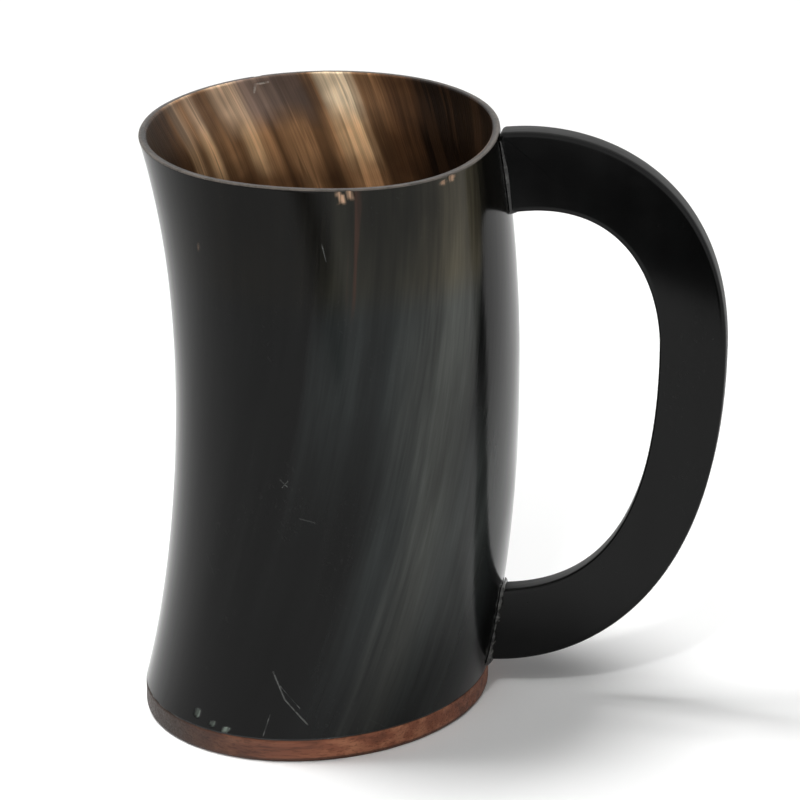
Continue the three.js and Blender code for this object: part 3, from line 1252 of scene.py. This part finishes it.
def piece(name: str, mesh: Mesh, finishes: Sequence[Material], crease: float) -> Object:
    """Finishes a mesh and links its object.

    Args:
        name: Name of the piece.
        mesh: Its mesh.
        finishes: Materials, in the order of their slots.
        crease: Angle in degrees from which an edge stays sharp.

    Returns:
        The object.
    """
    shaped = bmesh.new()
    shaped.from_mesh(mesh)
    bmesh.ops.recalc_face_normals(shaped, faces=shaped.faces)
    shaped.to_mesh(mesh)
    shaped.free()
    for finish in finishes:
        mesh.materials.append(finish)
    mesh.shade_smooth()
    mesh.set_sharp_from_angle(angle=math.radians(crease))
    return link(name, mesh)


def settle(made: Object, slot: Slot, *nodes: str) -> None:
    """Puts a piece on the body in the place of CAD nodes.

    Args:
        made: The piece.
        slot: Slot of the record; not used.
        nodes: CAD nodes that it stands for.
    """
    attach(made, BODY)
    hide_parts(*nodes)
    LOG.info("%s stands for %s", made.name, ", ".join(nodes))


@dataclass(frozen=True)
class Chip:
    """A chip broken out of the horn's surface, at an angle round it and a height."""

    degrees: float
    height: float
    wide: float
    tall: float
    deep: float
    ragged: float = 0.45
    crumbs: float = 900.0

    def depth(self, angle: float, z: float, radius: float) -> float:
        """Finds how much of the chip's depth is missing at a place.

        Args:
            angle: Angle round the horn.
            z: Height.
            radius: Radius that turns angles into lengths.

        Returns:
            A share between 0 and 1.
        """
        aside = (angle - math.radians(self.degrees) + math.pi) % TURN - math.pi
        over, up = aside * radius, z - self.height
        if abs(over) > 2 * self.wide or abs(up) > 2 * self.tall:
            return 0.0
        rough = self.ragged * wobble(over * self.crumbs, up * self.crumbs, self.degrees)
        return smooth(0.0, self.ragged, 1 - math.hypot(over / self.wide, up / self.tall) + rough)


@dataclass
class HornBody:
    """The tube of horn: outside, unevenly sawn rim and inside, with the chips of its use."""

    shape: HornShape
    count: int = 400
    lip_round: float = 0.0005
    lip_steps: int = 5
    fibre_radius: float = 0.045
    twist_outside: float = 4.0
    twist_inside: float = 5.0
    hollow: float = 0.00014
    hollow_across: float = 70.0
    hollow_along: float = 22.0
    outer_lip_wear: float = 0.75
    inner_lip_wear: float = 0.4
    rim_dip: float = 0.0002
    dip_waves: float = 1.6
    dip_seed: float = 3.0
    rim_lift: float = 0.0005
    rim_fall: float = 0.0020
    fall_degrees: float = -38.0
    fall_power: int = 4
    foot_zone: float = 0.008
    rim_zone: float = 0.009
    fine_step: float = 0.00035
    plain_step: float = 0.0014
    chips: tuple[Chip, ...] = (
        Chip(-77.2, 0.1500, 0.0011, 0.0020, 0.0007),
        Chip(-74.2, 0.1506, 0.0010, 0.0016, 0.0006),
        Chip(-38.0, 0.1508, 0.0012, 0.0010, 0.0004),
        Chip(-42.0, 0.1503, 0.0013, 0.0008, 0.0003),
        Chip(-124.6, 0.0095, 0.0008, 0.0014, 0.0005),
        Chip(-117.3, 0.0079, 0.0007, 0.0009, 0.0005),
        Chip(-111.8, 0.0072, 0.0011, 0.0010, 0.0006),
        Chip(-131.8, 0.1332, 0.0004, 0.0007, 0.0002),
        Chip(118.0, 0.1514, 0.0016, 0.0013, 0.0004),
        Chip(171.0, 0.0078, 0.0012, 0.0010, 0.0004),
    )

    def levels(self) -> list[float]:
        """Lists the heights of the outside's rings.

        Returns:
            Heights, close together near the foot and the rim, where the chips are.
        """
        low, high = self.shape.bottom, self.shape.height - self.lip_round
        fine_low, fine_high = low + self.foot_zone, high - self.rim_zone
        made = spread(low, fine_low, round((fine_low - low) / self.fine_step))
        made += spread(fine_low, fine_high, round((fine_high - fine_low) / self.plain_step))[1:]
        return made + spread(fine_high, high, round((high - fine_high) / self.fine_step))[1:]

    def missing(self, angle: float, z: float) -> tuple[float, float]:
        """Finds what chips have taken from a place.

        Args:
            angle: Angle round the horn.
            z: Height.

        Returns:
            The depth that is gone, and the mask of raw horn.
        """
        shares = [(chip.depth(angle, z, self.fibre_radius), chip.deep) for chip in self.chips]
        share, deep = max(shares, key=lambda pair: pair[0] * pair[1])
        return share * deep, share

    def cut(self, angle: float) -> float:
        """Finds how far the sawn rim strays from level.

        Args:
            angle: Angle round the horn.

        Returns:
            The rise of the rim there.
        """
        fall = max(0.0, math.cos(angle - math.radians(self.fall_degrees))) ** self.fall_power
        dip = lifted(ruffle(angle, self.dip_waves, self.dip_seed))
        return self.rim_lift - self.rim_fall * fall - self.rim_dip * dip

    def worked(self, away: Vector, z: float) -> float:
        """Returns the depth of the hollows that scraping left at a fibre and a height."""
        across = self.hollow_across
        return self.hollow * lifted(wobble(away.x * across, away.y * across, z * self.hollow_along))

    def ring(self, z: float, inset: float, outside: bool) -> tuple[list[Vector], list[Vector], list[float]]:
        """Makes one ring of the tube.

        Args:
            z: Height.
            inset: Distance in from the outside of the horn.
            outside: Whether chips and hollows reach this ring.

        Returns:
            Its points, and their fibre and chip marks.
        """
        section = self.shape.section(z)
        twist = self.twist_outside if outside else self.twist_inside
        near_rim = smooth(self.shape.height - self.shape.lip_taper, self.shape.height, z)
        points, fibres, chips = [], [], []
        for angle in angles(self.count):
            turned = angle - twist * z
            away = Vector((math.cos(turned), math.sin(turned), 0.0)) * self.fibre_radius
            gone, chip = self.missing(angle, z) if outside else (0.0, 0.0)
            worked = self.worked(away, z) if outside else 0.0
            points.append(section.point(angle, z + near_rim * self.cut(angle), inset + gone + worked))
            fibres.append(Vector((away.x, away.y, z)))
            chips.append(chip)
        return points, fibres, chips

    def build(self) -> Object:
        """Builds the tube.

        Returns:
            The piece.
        """
        shape, skin = self.shape, RingSkin(self.count)
        lip = shape.height - self.lip_round
        turns = spread(0.0, QUARTER, self.lip_steps)[1:]
        rows = [(z, 0.0, Band.OUTSIDE, True, 0.0) for z in self.levels()]
        bend = self.lip_round
        arc = [(lip + bend * math.sin(turn), bend * (1 - math.cos(turn))) for turn in turns]
        rows += [(z, inward, Band.RIM, True, self.outer_lip_wear) for z, inward in arc]
        for z, inward in reversed(arc):
            rows.append((z, shape.rim_wall - inward, Band.INSIDE, False, self.inner_lip_wear))
        inner = reversed(spread(shape.bottom, lip, round((lip - shape.bottom) / self.plain_step)))
        rows += [(z, shape.wall_at(z), Band.INSIDE, False, 0.0) for z in inner]
        for z, inset, band, outside, edge in rows:
            points, fibres, chips = self.ring(z, inset, outside)
            skin.add(points, band, fibre=fibres, chip=chips, edge=[edge] * self.count)
        finishes = (PolishedHorn().material(), SandedRim().material(), InsideHorn().material())
        made = skin.build("horn_tube", True, finishes, crease=60.0)
        settle(made, Slot.POLISHED_HORN, "horn_body")
        return made


@dataclass
class WoodenBase:
    """The wooden disc under the horn, flush with it, with a spigot inside."""

    shape: HornShape
    count: int = 320
    edge: float = 0.001
    top_edge: float = 0.0002
    spigot_height: float = 0.008
    edge_steps: int = 7
    side_steps: int = 10
    sanding: float = 0.00010
    sanding_waves: float = 9.0
    sanding_rise: float = 500.0
    disc: tuple[float, ...] = (0.042, 0.034, 0.026, 0.018, 0.010, 0.004, 0.002)
    spigot_disc: tuple[float, ...] = (0.018, 0.026, 0.034, 0.042)

    @property
    def floor(self) -> float:
        """Height of the spigot's top."""
        return self.shape.base_thickness + self.spigot_height

    def rows(self) -> list[tuple[float, float, float]]:
        """Lists the disc's rings from the middle of its underside to the middle of its top.

        Returns:
            Height, inset and edge mark of each ring.
        """
        top, spigot = self.shape.base_thickness, self.shape.wall + self.shape.fit_gap
        made = [(0.0, inset, 0.0) for inset in self.disc]
        for turn in spread(0.0, QUARTER, self.edge_steps):
            made.append((self.edge * (1 - math.cos(turn)), self.edge * (1 - math.sin(turn)), 1.0))
        made += [(z, 0.0, 0.0) for z in spread(self.edge, top - self.top_edge, self.side_steps)[1:]]
        made += [(top, self.top_edge, 1.0), (top, spigot, 0.0), (self.floor, spigot, 0.0)]
        return made + [(self.floor, inset, 0.0) for inset in self.spigot_disc]

    def sanded(self, angle: float, z: float, inset: float) -> float:
        """Finds how far in a point lies, with the waves that sanding left in the outside.

        Args:
            angle: Angle round the disc.
            z: Height.
            inset: Distance in from the outside before sanding.

        Returns:
            The distance in from the outside.
        """
        if inset >= self.edge:
            return inset
        return inset + self.sanding * lifted(ruffle(angle, self.sanding_waves, z * self.sanding_rise))

    def build(self) -> Object:
        """Builds the disc.

        Returns:
            The piece.
        """
        skin = RingSkin(self.count)
        for z, inset, edge in self.rows():
            section = self.shape.section(z)
            ring = [section.point(angle, z, self.sanded(angle, z, inset)) for angle in angles(self.count)]
            skin.add(ring, edge=[edge] * self.count)
        made = skin.build("turned_base", False, (OiledWood().material(),))
        settle(made, Slot.OILED_WOOD, "wooden_base")
        return made


@dataclass
class GlueFilm:
    """The film of glue between base and horn, whose edge shows as an uneven dark line."""

    shape: HornShape
    finish: Material
    count: int = 320
    uneven: float = 0.00018
    squeeze_waves: float = 14.0
    squeeze_rise: float = 900.0
    steps: int = 6

    def build(self) -> Object:
        """Builds the film.

        Returns:
            The piece.
        """
        skin = RingSkin(self.count)
        low, high = self.shape.base_thickness, self.shape.bottom
        rows = [(z, True) for z in spread(low, high, self.steps)] + [(high, False), (low, False)]
        for z, outer in rows:
            section = self.shape.section(z)
            ring = []
            for angle in angles(self.count):
                squeezed = self.uneven * ruffle(angle, self.squeeze_waves, z * self.squeeze_rise)
                inset = self.shape.fit_gap + squeezed if outer else self.shape.wall
                ring.append(section.point(angle, z, inset))
            skin.add(ring)
        made = skin.build("glue_film", True, (self.finish,))
        settle(made, Slot.CLEAR_GLUE, "base_glue")
        return made


@dataclass
class ResinFloor:
    """The poured floor inside the mug, with a hollow fillet up the wall."""

    shape: HornShape
    floor: float
    count: int = 240
    thickness: float = 0.0012
    fillet: float = 0.003
    fillet_steps: int = 12
    ripple: float = 0.00012
    ripple_scale: float = 90.0
    ripple_seed: float = 1.0
    pool: tuple[float, ...] = (0.010, 0.014, 0.018, 0.022, 0.026, 0.030, 0.034, 0.038, 0.042)

    def build(self) -> Object:
        """Builds the floor.

        Returns:
            The piece.
        """
        level, edge = self.floor + self.thickness, self.shape.wall + self.shape.fit_gap
        rows = [(self.floor, edge, 0.0)]
        for turn in spread(0.0, QUARTER, self.fillet_steps):
            rise, inward = self.fillet * (1 - math.sin(turn)), self.fillet * (1 - math.cos(turn))
            rows.append((level + rise, edge + inward, 0.0))
        rows += [(level, inset, self.ripple) for inset in self.pool]
        skin = RingSkin(self.count)
        for z, inset, ripple in rows:
            section = self.shape.section(z)
            ring = [section.point(angle, z, inset) for angle in angles(self.count)]
            for p in ring:
                x, y = p.x * self.ripple_scale, p.y * self.ripple_scale
                p.z += ripple * wobble(x, y, self.ripple_seed)
            skin.add(ring)
        made = skin.build("resin_floor", False, (AmberResin().material(),))
        settle(made, Slot.AMBER_RESIN, "floor_seal")
        return made


@dataclass(frozen=True)
class Foot:
    """A foot of the handle: the heights of its edges at the horn, and the rise of those edges."""

    bottom: float
    top: float
    bottom_slope: float
    top_slope: float


@dataclass(frozen=True)
class HandlePlane:
    """The plane of the handle's plate: X along the plate, Y across it, turned about the upper foot."""

    shape: HornShape
    skew: float = math.radians(7)
    top: float = 0.1525

    def matrix(self) -> Matrix:
        """Finds the plane's place.

        Returns:
            The matrix from the plane to the shared frame.
        """
        section = self.shape.section(self.top)
        place = Matrix.Translation((section.middle + section.across, 0.0, 0.0))
        return place @ Matrix.Rotation(-self.skew, 4, "Z")

    def facing(self) -> Place:
        """Returns the direction in which the plate's faces look."""
        return tuple(self.matrix().to_3x3() @ Vector((0.0, 1.0, 0.0)))

    def reach(self, side: float, z: float, gap: float) -> float:
        """Finds where a line along the plate comes out of the horn.

        Args:
            side: Distance of the line from the plate's middle.
            z: Height of the line.
            gap: Growth of the horn.

        Returns:
            The distance along the plate.
        """
        section = self.shape.section(z)
        start = self.matrix() @ Vector((0.0, side, z))
        across, deep = section.across + gap, section.deep + gap

        def on_oval(x: float, y: float) -> Vector:
            """Returns a direction in the oval's own measure."""
            return Vector(((x - section.skew * y) / across, y / deep))

        place = on_oval(start.x - section.middle, start.y)
        run = on_oval(math.cos(self.skew), -math.sin(self.skew))
        mixed = place.dot(run)
        square = run.dot(run)
        return (math.sqrt(mixed * mixed + square * (1 - place.dot(place))) - mixed) / square


@dataclass
class HandlePlate:
    """The flat D-shaped plate of horn, with rounded edges and feet coped to the tube."""

    plane: HandlePlane
    thickness: float = 0.006
    edge: float = 0.0008
    sanded: float = 0.00006
    margin: float = 0.0006
    edge_steps: int = 6
    top_corner: float = 0.0018
    corner_steps: int = 10
    least_lean: float = 0.5
    grip_height: float = 0.0976
    grip_width: float = 0.0169
    finger_room: float = 0.0359
    joint_gap: float = 0.0001
    curve_steps: int = 70
    cope_sides: int = 256
    cope_steps: int = 90
    upper: Foot = Foot(0.1313, 0.1525, 0.2, 0.13)
    lower: Foot = Foot(0.0091, 0.0292, 0.02, 0.1)
    outer_top_pull: tuple[float, float] = (0.42, 0.82)
    outer_low_pull: tuple[float, float] = (0.46, 0.74)
    inner_top_pull: tuple[float, float] = (0.8, 0.42)
    inner_low_pull: tuple[float, float] = (0.43, 0.85)

    def arm(self, foot: Vector, slope: float, grip: Vector, pull: tuple[float, float]) -> list[Vector]:
        """Draws one edge of an arm.

        Args:
            foot: Where the edge leaves the foot.
            slope: Its rise over its run there.
            grip: Where it becomes upright.
            pull: Fullness along the arm and along the grip.

        Returns:
            Points from the foot to the grip, both included.
        """
        run = (grip.x - foot.x) * pull[0]
        on_arm = Vector((foot.x + run, foot.y + run * slope))
        on_grip = Vector((grip.x, lerp(grip.y, foot.y, pull[1])))
        corners = [Vector((p.x, p.y, 0.0)) for p in (foot, on_arm, on_grip, grip)]
        return [p.to_2d() for p in interpolate_bezier(*corners, self.curve_steps)]

    def outline(self) -> list[Vector]:
        """Draws the plate's outline, with its feet run on into the horn.

        Returns:
            Points as distance along the plate and height, in one direction round.
        """
        gap, into = self.plane.shape.fit_gap, self.plane.shape.wall

        def edge(z: float) -> Vector:
            """Returns the edge of a foot at the horn."""
            return Vector((self.plane.reach(0.0, z, gap), z))

        inner = Vector((self.plane.reach(0.0, self.grip_height, 0.0) + self.finger_room, self.grip_height))
        outer = inner + Vector((self.grip_width, 0.0))
        corner, heel = edge(self.upper.top), edge(self.lower.bottom)
        low_inner, top_inner = edge(self.lower.top), edge(self.upper.bottom)
        crown = corner + Vector((self.top_corner, 0.0))
        start = corner - Vector((0.0, self.top_corner))
        shares = spread(0.0, 1.0, self.corner_steps)
        rounded = [start.lerp(corner, t).lerp(corner.lerp(crown, t), t) for t in shares]
        made = [start - Vector((into, 0.0)), *rounded]
        made += self.arm(crown, self.upper.top_slope, outer, self.outer_top_pull)[1:]
        made += reversed(self.arm(heel, self.lower.bottom_slope, outer, self.outer_low_pull)[:-1])
        made.append(heel - into * Vector((1.0, self.lower.bottom_slope)))
        made.append(low_inner - into * Vector((1.0, self.lower.top_slope)))
        made += self.arm(low_inner, self.lower.top_slope, inner, self.inner_low_pull)
        made += reversed(self.arm(top_inner, self.upper.bottom_slope, inner, self.inner_top_pull)[:-1])
        made.append(top_inner - into * Vector((1.0, self.upper.bottom_slope)))
        return made

    def plate(self) -> Mesh:
        """Builds the plate before its feet are coped.

        Returns:
            The mesh, in the shared frame.
        """
        outline = self.outline()
        inward = []
        for i, point in enumerate(outline):
            before = (point - outline[i - 1]).normalized()
            after = (outline[(i + 1) % len(outline)] - point).normalized()
            along = (before + after).normalized()
            lean = max(self.least_lean, along.dot(after))
            inward.append(Vector((along.y, -along.x)) / lean)
        half = self.thickness / 2
        matrix = self.plane.matrix()
        skin = RingSkin(len(outline))
        front = [(half, self.edge + self.margin)]
        for turn in spread(QUARTER, 0.0, self.edge_steps):
            front.append((half - self.edge * (1 - math.sin(turn)), self.edge * (1 - math.cos(turn))))
        for depth, inset in [(-d, i) for d, i in front] + list(reversed(front)):
            ring = [p + n * (inset + self.sanded) for p, n in zip(outline, inward)]
            skin.add([matrix @ Vector((p.x, depth, p.y)) for p in ring])
        mesh = bpy.data.meshes.new("plate_blank")
        mesh.from_pydata(skin.points, [], skin.faces(False))
        return mesh

    def tube_block(self) -> Mesh:
        """Builds the solid outside of the horn, which copes the feet.

        Returns:
            The mesh.
        """
        shape, skin = self.plane.shape, RingSkin(self.cope_sides)
        for z in spread(0.0, shape.height + 2 * self.top_corner, self.cope_steps):
            section = shape.section(min(z, shape.height))
            skin.add([section.point(angle, z, -self.joint_gap) for angle in angles(self.cope_sides)])
        mesh = bpy.data.meshes.new("tube_block")
        mesh.from_pydata(skin.points, [], skin.faces(False))
        return mesh

    def build(self) -> Object:
        """Builds the handle.

        Returns:
            The piece.
        """
        blanks = [piece(mesh.name, mesh, (), crease=180.0) for mesh in (self.plate(), self.tube_block())]
        plate, block = blanks
        cope = plate.modifiers.new("cope", "BOOLEAN")
        cope.operation, cope.solver, cope.object = "DIFFERENCE", "EXACT", block
        coped = bpy.data.meshes.new_from_object(plate.evaluated_get(bpy.context.evaluated_depsgraph_get()))
        for blank in blanks:
            bpy.data.objects.remove(blank)
        coped.name = "handle_plate"
        made = piece("handle_plate", coped, (SawnHorn(self.plane.facing()).material(),), crease=35.0)
        settle(made, Slot.SAWN_HORN, "handle")
        return made


class BeadKind(Enum):
    """Ways in which a glue fillet was left: wiped at the upper foot, and lumpy round the lower one."""

    WIPED = "upper"
    LUMPY = "lower"


@dataclass
class GlueBead:
    """A fillet of hard glue in the corner between a foot of the handle and the horn."""

    plate: HandlePlate
    foot: Foot
    kind: BeadKind
    finish: Material
    size: float = 0.0015
    top_drop: float = 0.0025
    steps: int = 44
    corner_steps: int = 8
    bow_steps: int = 6
    wiped_low: float = 0.35
    wiped_middle: float = 0.5
    wiped_top: float = 0.25
    wiped_middle_from: float = 0.4
    wiped_top_zone: Span = (0.5, 0.95)
    wiped_shake: float = 0.16
    wiped_waves: Place = (500.0, 420.0, 2.0)
    wiped_over: float = 0.8
    wiped_bow: float = 0.55
    drip: float = 0.0015
    lump: float = 0.85
    lump_coarse: float = 0.9
    coarse_waves: Place = (160.0, 330.0, 7.0)
    lump_fine: float = 0.5
    fine_waves: Place = (600.0, 800.0, 4.0)
    lump_low_end: float = 0.1
    low_end_to: float = 0.14
    lump_under: float = 0.35
    lump_least: float = 0.2
    lump_lift: float = 0.7
    lump_bow: float = 0.8

    @property
    def closed(self) -> bool:
        """Whether the fillet goes all round the foot."""
        return self.kind is BeadKind.LUMPY

    def walk(self, out: float) -> list[tuple[Vector, Vector]]:
        """Walks round the foot: down its front, under it, up its back and, if closed, over its top.

        Args:
            out: Distance from the horn.

        Returns:
            Places as side and height, with their outward directions.
        """
        edge, foot = self.plate.edge, self.foot
        side = self.plate.thickness / 2 - edge
        bottom = foot.bottom + foot.bottom_slope * out + edge
        top = foot.top + foot.top_slope * out - edge
        start = top if self.closed else foot.top - self.top_drop

        def stop(x: float, z: float, turn: float) -> tuple[Vector, Vector]:
            """Returns one stop, which lies off a corner's centre."""
            outward = Vector((math.cos(turn), math.sin(turn)))
            return Vector((x, z)) + outward * edge, outward

        def corner(x: float, z: float, first: float) -> list[tuple[Vector, Vector]]:
            """Returns the stops round one corner."""
            return [stop(x, z, turn) for turn in spread(first, first + QUARTER, self.corner_steps)]

        made = [stop(-side, z, 2 * QUARTER) for z in spread(start, bottom, self.steps)[:-1]]
        made += corner(-side, bottom, 2 * QUARTER) + corner(side, bottom, 3 * QUARTER)
        made += [stop(side, z, 0.0) for z in spread(bottom, start, self.steps)[1:]]
        if self.closed:
            made += corner(side, top, 0.0)[1:] + corner(-side, top, QUARTER)[:-1]
        return made

    def shake(self, place: Vector, waves: Place) -> float:
        """Returns fixed noise at a stop, by its waves per metre sideways and up, and its seed."""
        return wobble(place.x * waves[0], place.y * waves[1], waves[2])

    def swell(self, place: Vector, outward: Vector) -> tuple[float, float]:
        """Finds the fillet's reach at a stop.

        Args:
            place: Side and height of the stop.
            outward: Its outward direction.

        Returns:
            Its reach along the handle and over the horn.
        """
        up = (place.y - self.foot.bottom) / (self.foot.top - self.foot.bottom)
        under = max(0.0, -outward.y)
        if self.kind is BeadKind.WIPED:
            middle = lerp(self.wiped_low, self.wiped_middle, smooth(0.0, self.wiped_middle_from, up))
            full = middle * lerp(1.0, self.wiped_top, smooth(*self.wiped_top_zone, up))
            shaken = 1 + self.wiped_shake * self.shake(place, self.wiped_waves)
            lift = self.size * full * shaken + self.drip * under
            return lift, self.size * self.wiped_over * full * shaken
        coarse = self.lump_coarse * self.shake(place, self.coarse_waves)
        fine = self.lump_fine * self.shake(place, self.fine_waves)
        drop = self.lump_low_end * smooth(self.low_end_to, 0.0, up) - self.lump_under * under
        lumps = max(self.lump_least, self.lump + coarse + fine + drop)
        return self.size * self.lump_lift * lumps, self.size * lumps

    def build(self) -> Object:
        """Builds the fillet.

        Returns:
            The piece.
        """
        gap, matrix = self.plate.joint_gap, self.plate.plane.matrix()
        at_horn, further = self.walk(0.0), self.walk(self.size)

        def point(place: Vector, outward: Vector, off: float, lift: float) -> Vector:
            """Returns a point off the foot and up from the horn, in the shared frame."""
            at = place + outward * off
            return matrix @ Vector((self.plate.plane.reach(at.x, at.y, gap) + lift, at.x, at.y))

        skin = RingSkin(self.bow_steps + 2)
        bow = self.lump_bow if self.closed else self.wiped_bow
        for (place, outward), (far, _) in zip(at_horn, further):
            lift, over = self.swell(place, outward)
            tip = place.lerp(far, lift / self.size)
            ring = [point(place, outward, -gap, -gap)]
            for turn in spread(0.0, QUARTER, self.bow_steps):
                up, off = 1 - math.sin(turn), 1 - math.cos(turn)
                up, off = lerp(up, math.cos(turn), bow), lerp(off, math.sin(turn), bow)
                ring.append(point(place.lerp(tip, up), outward, over * off, lift * up))
            skin.add(ring)
        made = skin.build(f"{self.kind.value}_bead", self.closed, (self.finish,), crease=60.0)
        settle(made, Slot.CLEAR_GLUE, f"{self.kind.value}_glue_bead")
        return made


@dataclass
class Pins:
    """The hidden dowels in the feet, which keep their CAD shape."""

    names: tuple[str, ...] = ("upper_handle_pin", "lower_handle_pin")

    def dress(self) -> None:
        """Gives the dowels their finish."""
        steel = SteelPin().material()
        for name in self.names:
            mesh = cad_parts[name].data
            mesh.materials.clear()
            mesh.materials.append(steel)
            LOG.info("%s keeps its CAD shape", name)


@dataclass(frozen=True)
class Lamp:
    """A soft lamp that looks at a point: a square one, or a narrow beam."""

    name: str
    place: Place
    aim: Place
    power: float
    width: float
    beam: float = 0.0
    blend: float = 0.8

    def hang(self) -> None:
        """Hangs the lamp, out of sight of mirrors."""
        data = bpy.data.lights.new(self.name, "SPOT" if self.beam else "AREA")
        data.energy = self.power
        if self.beam:
            data.spot_size = self.beam
            data.spot_blend = self.blend
            data.shadow_soft_size = self.width / 2
        else:
            data.size = self.width
        hung = link(self.name, data)
        hung.visible_glossy = False
        look(hung, self.place, self.aim)


@dataclass
class Studio:
    """The pale bench, the soft light round it and the camera."""

    floor_size: float = 4.0
    floor_colour: Colour = (0.95, 0.95, 0.945)
    floor_roughness: float = 0.9
    paper_scale: float = 600.0
    paper_shade: Span = (0.99, 1.0)
    dusk: Colour = (0.03, 0.03, 0.03)
    ambient: Colour = (0.16, 0.16, 0.16)
    lift: float = 0.07
    opening: Place = (-0.137, -0.439, 0.0)
    opening_turn: float = math.radians(36.9)
    opening_length: float = 0.24
    opening_width: float = 0.085
    opening_blur: float = 0.008
    dim_from: float = -0.06
    dim_full: float = -0.25
    dim_share: float = 0.2
    sky_dim_full: float = -0.5
    sky_dim_from: float = 0.0
    white: Colour = (1.0, 1.0, 1.0)
    eye: Place = (0.06032, -1.11868, 0.50992)
    target: Place = (0.02123, 0.00080, 0.07953)
    lens: float = 212.2
    sensor: float = 36.0
    lamps: tuple[Lamp, ...] = (
        Lamp("left_key", (-1.05, 0.25, 3.82), (0.02, 0.0, 0.05), 130.0, 1.0),
        Lamp("front_fill", (-0.60, -2.42, 3.13), (0.02, 0.0, 0.05), 30.0, 2.3),
        Lamp("mouth_lamp", (-0.20, -1.05, 1.30), (0.0, 0.044, 0.143), 84.0, 0.3, math.radians(9)),
    )

    def opening_mask(self, graph: Graph, place: Feed) -> NodeSocket:
        """Marks the dark opening in front of the bench.

        Args:
            graph: Tree of the bench's material.
            place: Place on the bench.

        Returns:
            1 inside a strip that starts at the opening's corner, and 0 outside it.
        """
        away = graph.vector("SUBTRACT", place, self.opening)
        along = (math.cos(self.opening_turn), math.sin(self.opening_turn), 0.0)
        across = (along[1], -along[0], 0.0)
        mask: Feed = 1.0
        for direction, reach in ((along, self.opening_length), (across, self.opening_width)):
            at = graph.vector("DOT_PRODUCT", away, direction)
            mask = graph.times(mask, graph.remap(at, -self.opening_blur, self.opening_blur))
            end = graph.remap(at, reach - self.opening_blur, reach + self.opening_blur, 1.0, 0.0)
            mask = graph.times(mask, end)
        return mask

    def floor(self) -> Object:
        """Builds the bench top. In mirrors it has the dark opening in front and a dimmer left side.

        Returns:
            The floor.
        """
        half = self.floor_size / 2
        mesh = bpy.data.meshes.new("bench_top")
        corners = [(-half, -half, 0), (half, -half, 0), (half, half, 0), (-half, half, 0)]
        mesh.from_pydata(corners, [], [(0, 1, 2, 3)])
        plain = {"Roughness": self.floor_roughness, "Specular_IOR_Level": 0.0, "Emission_Color": self.white}
        paint, graph, place = Paint.start("pale_bench", **plain)
        pulp = graph.noise(place, self.paper_scale, detail=2.0)
        paper = graph.remap(pulp, *NOISE_SPAN, *self.paper_shade)
        paint.set("Base Color", graph.tint(self.floor_colour, paper))
        opening = graph.node("ShaderNodeBsdfDiffuse")
        graph.feed(opening.inputs["Color"], self.dusk)
        dim = graph.remap(graph.part(place, "X"), self.dim_full, self.dim_from, self.dim_share, 0.0)
        within = graph.most(self.opening_mask(graph, place), dim)
        rays = graph.node("ShaderNodeLightPath").outputs
        paint.set("Emission Strength", graph.times(rays["Is Camera Ray"], self.lift))
        sides = graph.node("ShaderNodeMixShader")
        graph.feed(sides.inputs[0], graph.times(within, rays["Is Glossy Ray"]))
        for ground, shader in ((Ground.BENCH, paint.shader), (Ground.OPENING, opening)):
            graph.feed(sides.inputs[ground.value], shader.outputs["BSDF"])
        paint.show(sides.outputs[0])
        mesh.materials.append(paint.material)
        made = link("bench_top", mesh)
        return made

    def light(self) -> None:
        """Hangs the lamps and sets the light from all round, which the camera and mirrors see as white."""
        for lamp in self.lamps:
            lamp.hang()
        world = bpy.data.worlds.new("studio")
        world.use_nodes = True
        graph = Graph(world.node_tree)
        world.node_tree.nodes.clear()
        rays = graph.node("ShaderNodeLightPath").outputs
        seen = graph.most(rays["Is Camera Ray"], rays["Is Glossy Ray"], rays["Is Transmission Ray"])
        sky = graph.node("ShaderNodeBackground")
        graph.feed(sky.inputs["Color"], graph.mix(seen, self.ambient, self.white))
        aside = graph.part(graph.node("ShaderNodeTexCoord").outputs["Generated"], "X")
        dim = graph.remap(aside, self.sky_dim_full, self.sky_dim_from, self.dim_share, 0.0)
        graph.feed(sky.inputs["Strength"], graph.minus(1.0, graph.times(dim, rays["Is Glossy Ray"])))
        output = graph.node("ShaderNodeOutputWorld")
        graph.feed(output.inputs["Surface"], sky.outputs[0])
        bpy.context.scene.world = world

    def camera(self) -> None:
        """Sets up the camera at the photograph's angle."""
        data = bpy.data.cameras.new("camera")
        data.lens, data.sensor_width = self.lens, self.sensor
        made = link("camera", data)
        look(made, self.eye, self.target)
        bpy.context.scene.camera = made
        bpy.context.scene.view_settings.view_transform = "Standard"

    def build(self) -> None:
        """Builds the whole set."""
        self.camera()
        self.floor()
        self.light()
        LOG.info("the bench, %d lamps and the camera stand", len(self.lamps))


def main() -> None:
    """Builds the mug and its studio, piece by piece."""
    logging.basicConfig(level=logging.INFO, format="%(name)s: %(message)s")
    shape = HornShape()
    glue = ClearGlue().material()
    film = ClearGlue(name="dark_glue", frost_from=0.62, frost_full=0.8).material()
    rough = ClearGlue(name="frosted_glue", frost_from=0.40, frost_full=0.70).material()
    Studio().build()
    HornBody(shape).build()
    base = WoodenBase(shape)
    base.build()
    GlueFilm(shape, film).build()
    ResinFloor(shape, base.floor).build()
    plate = HandlePlate(HandlePlane(shape))
    plate.build()
    GlueBead(plate, plate.upper, BeadKind.WIPED, glue).build()
    GlueBead(plate, plate.lower, BeadKind.LUMPY, rough).build()
    Pins().dress()


if __name__ == "__main__":
    main()
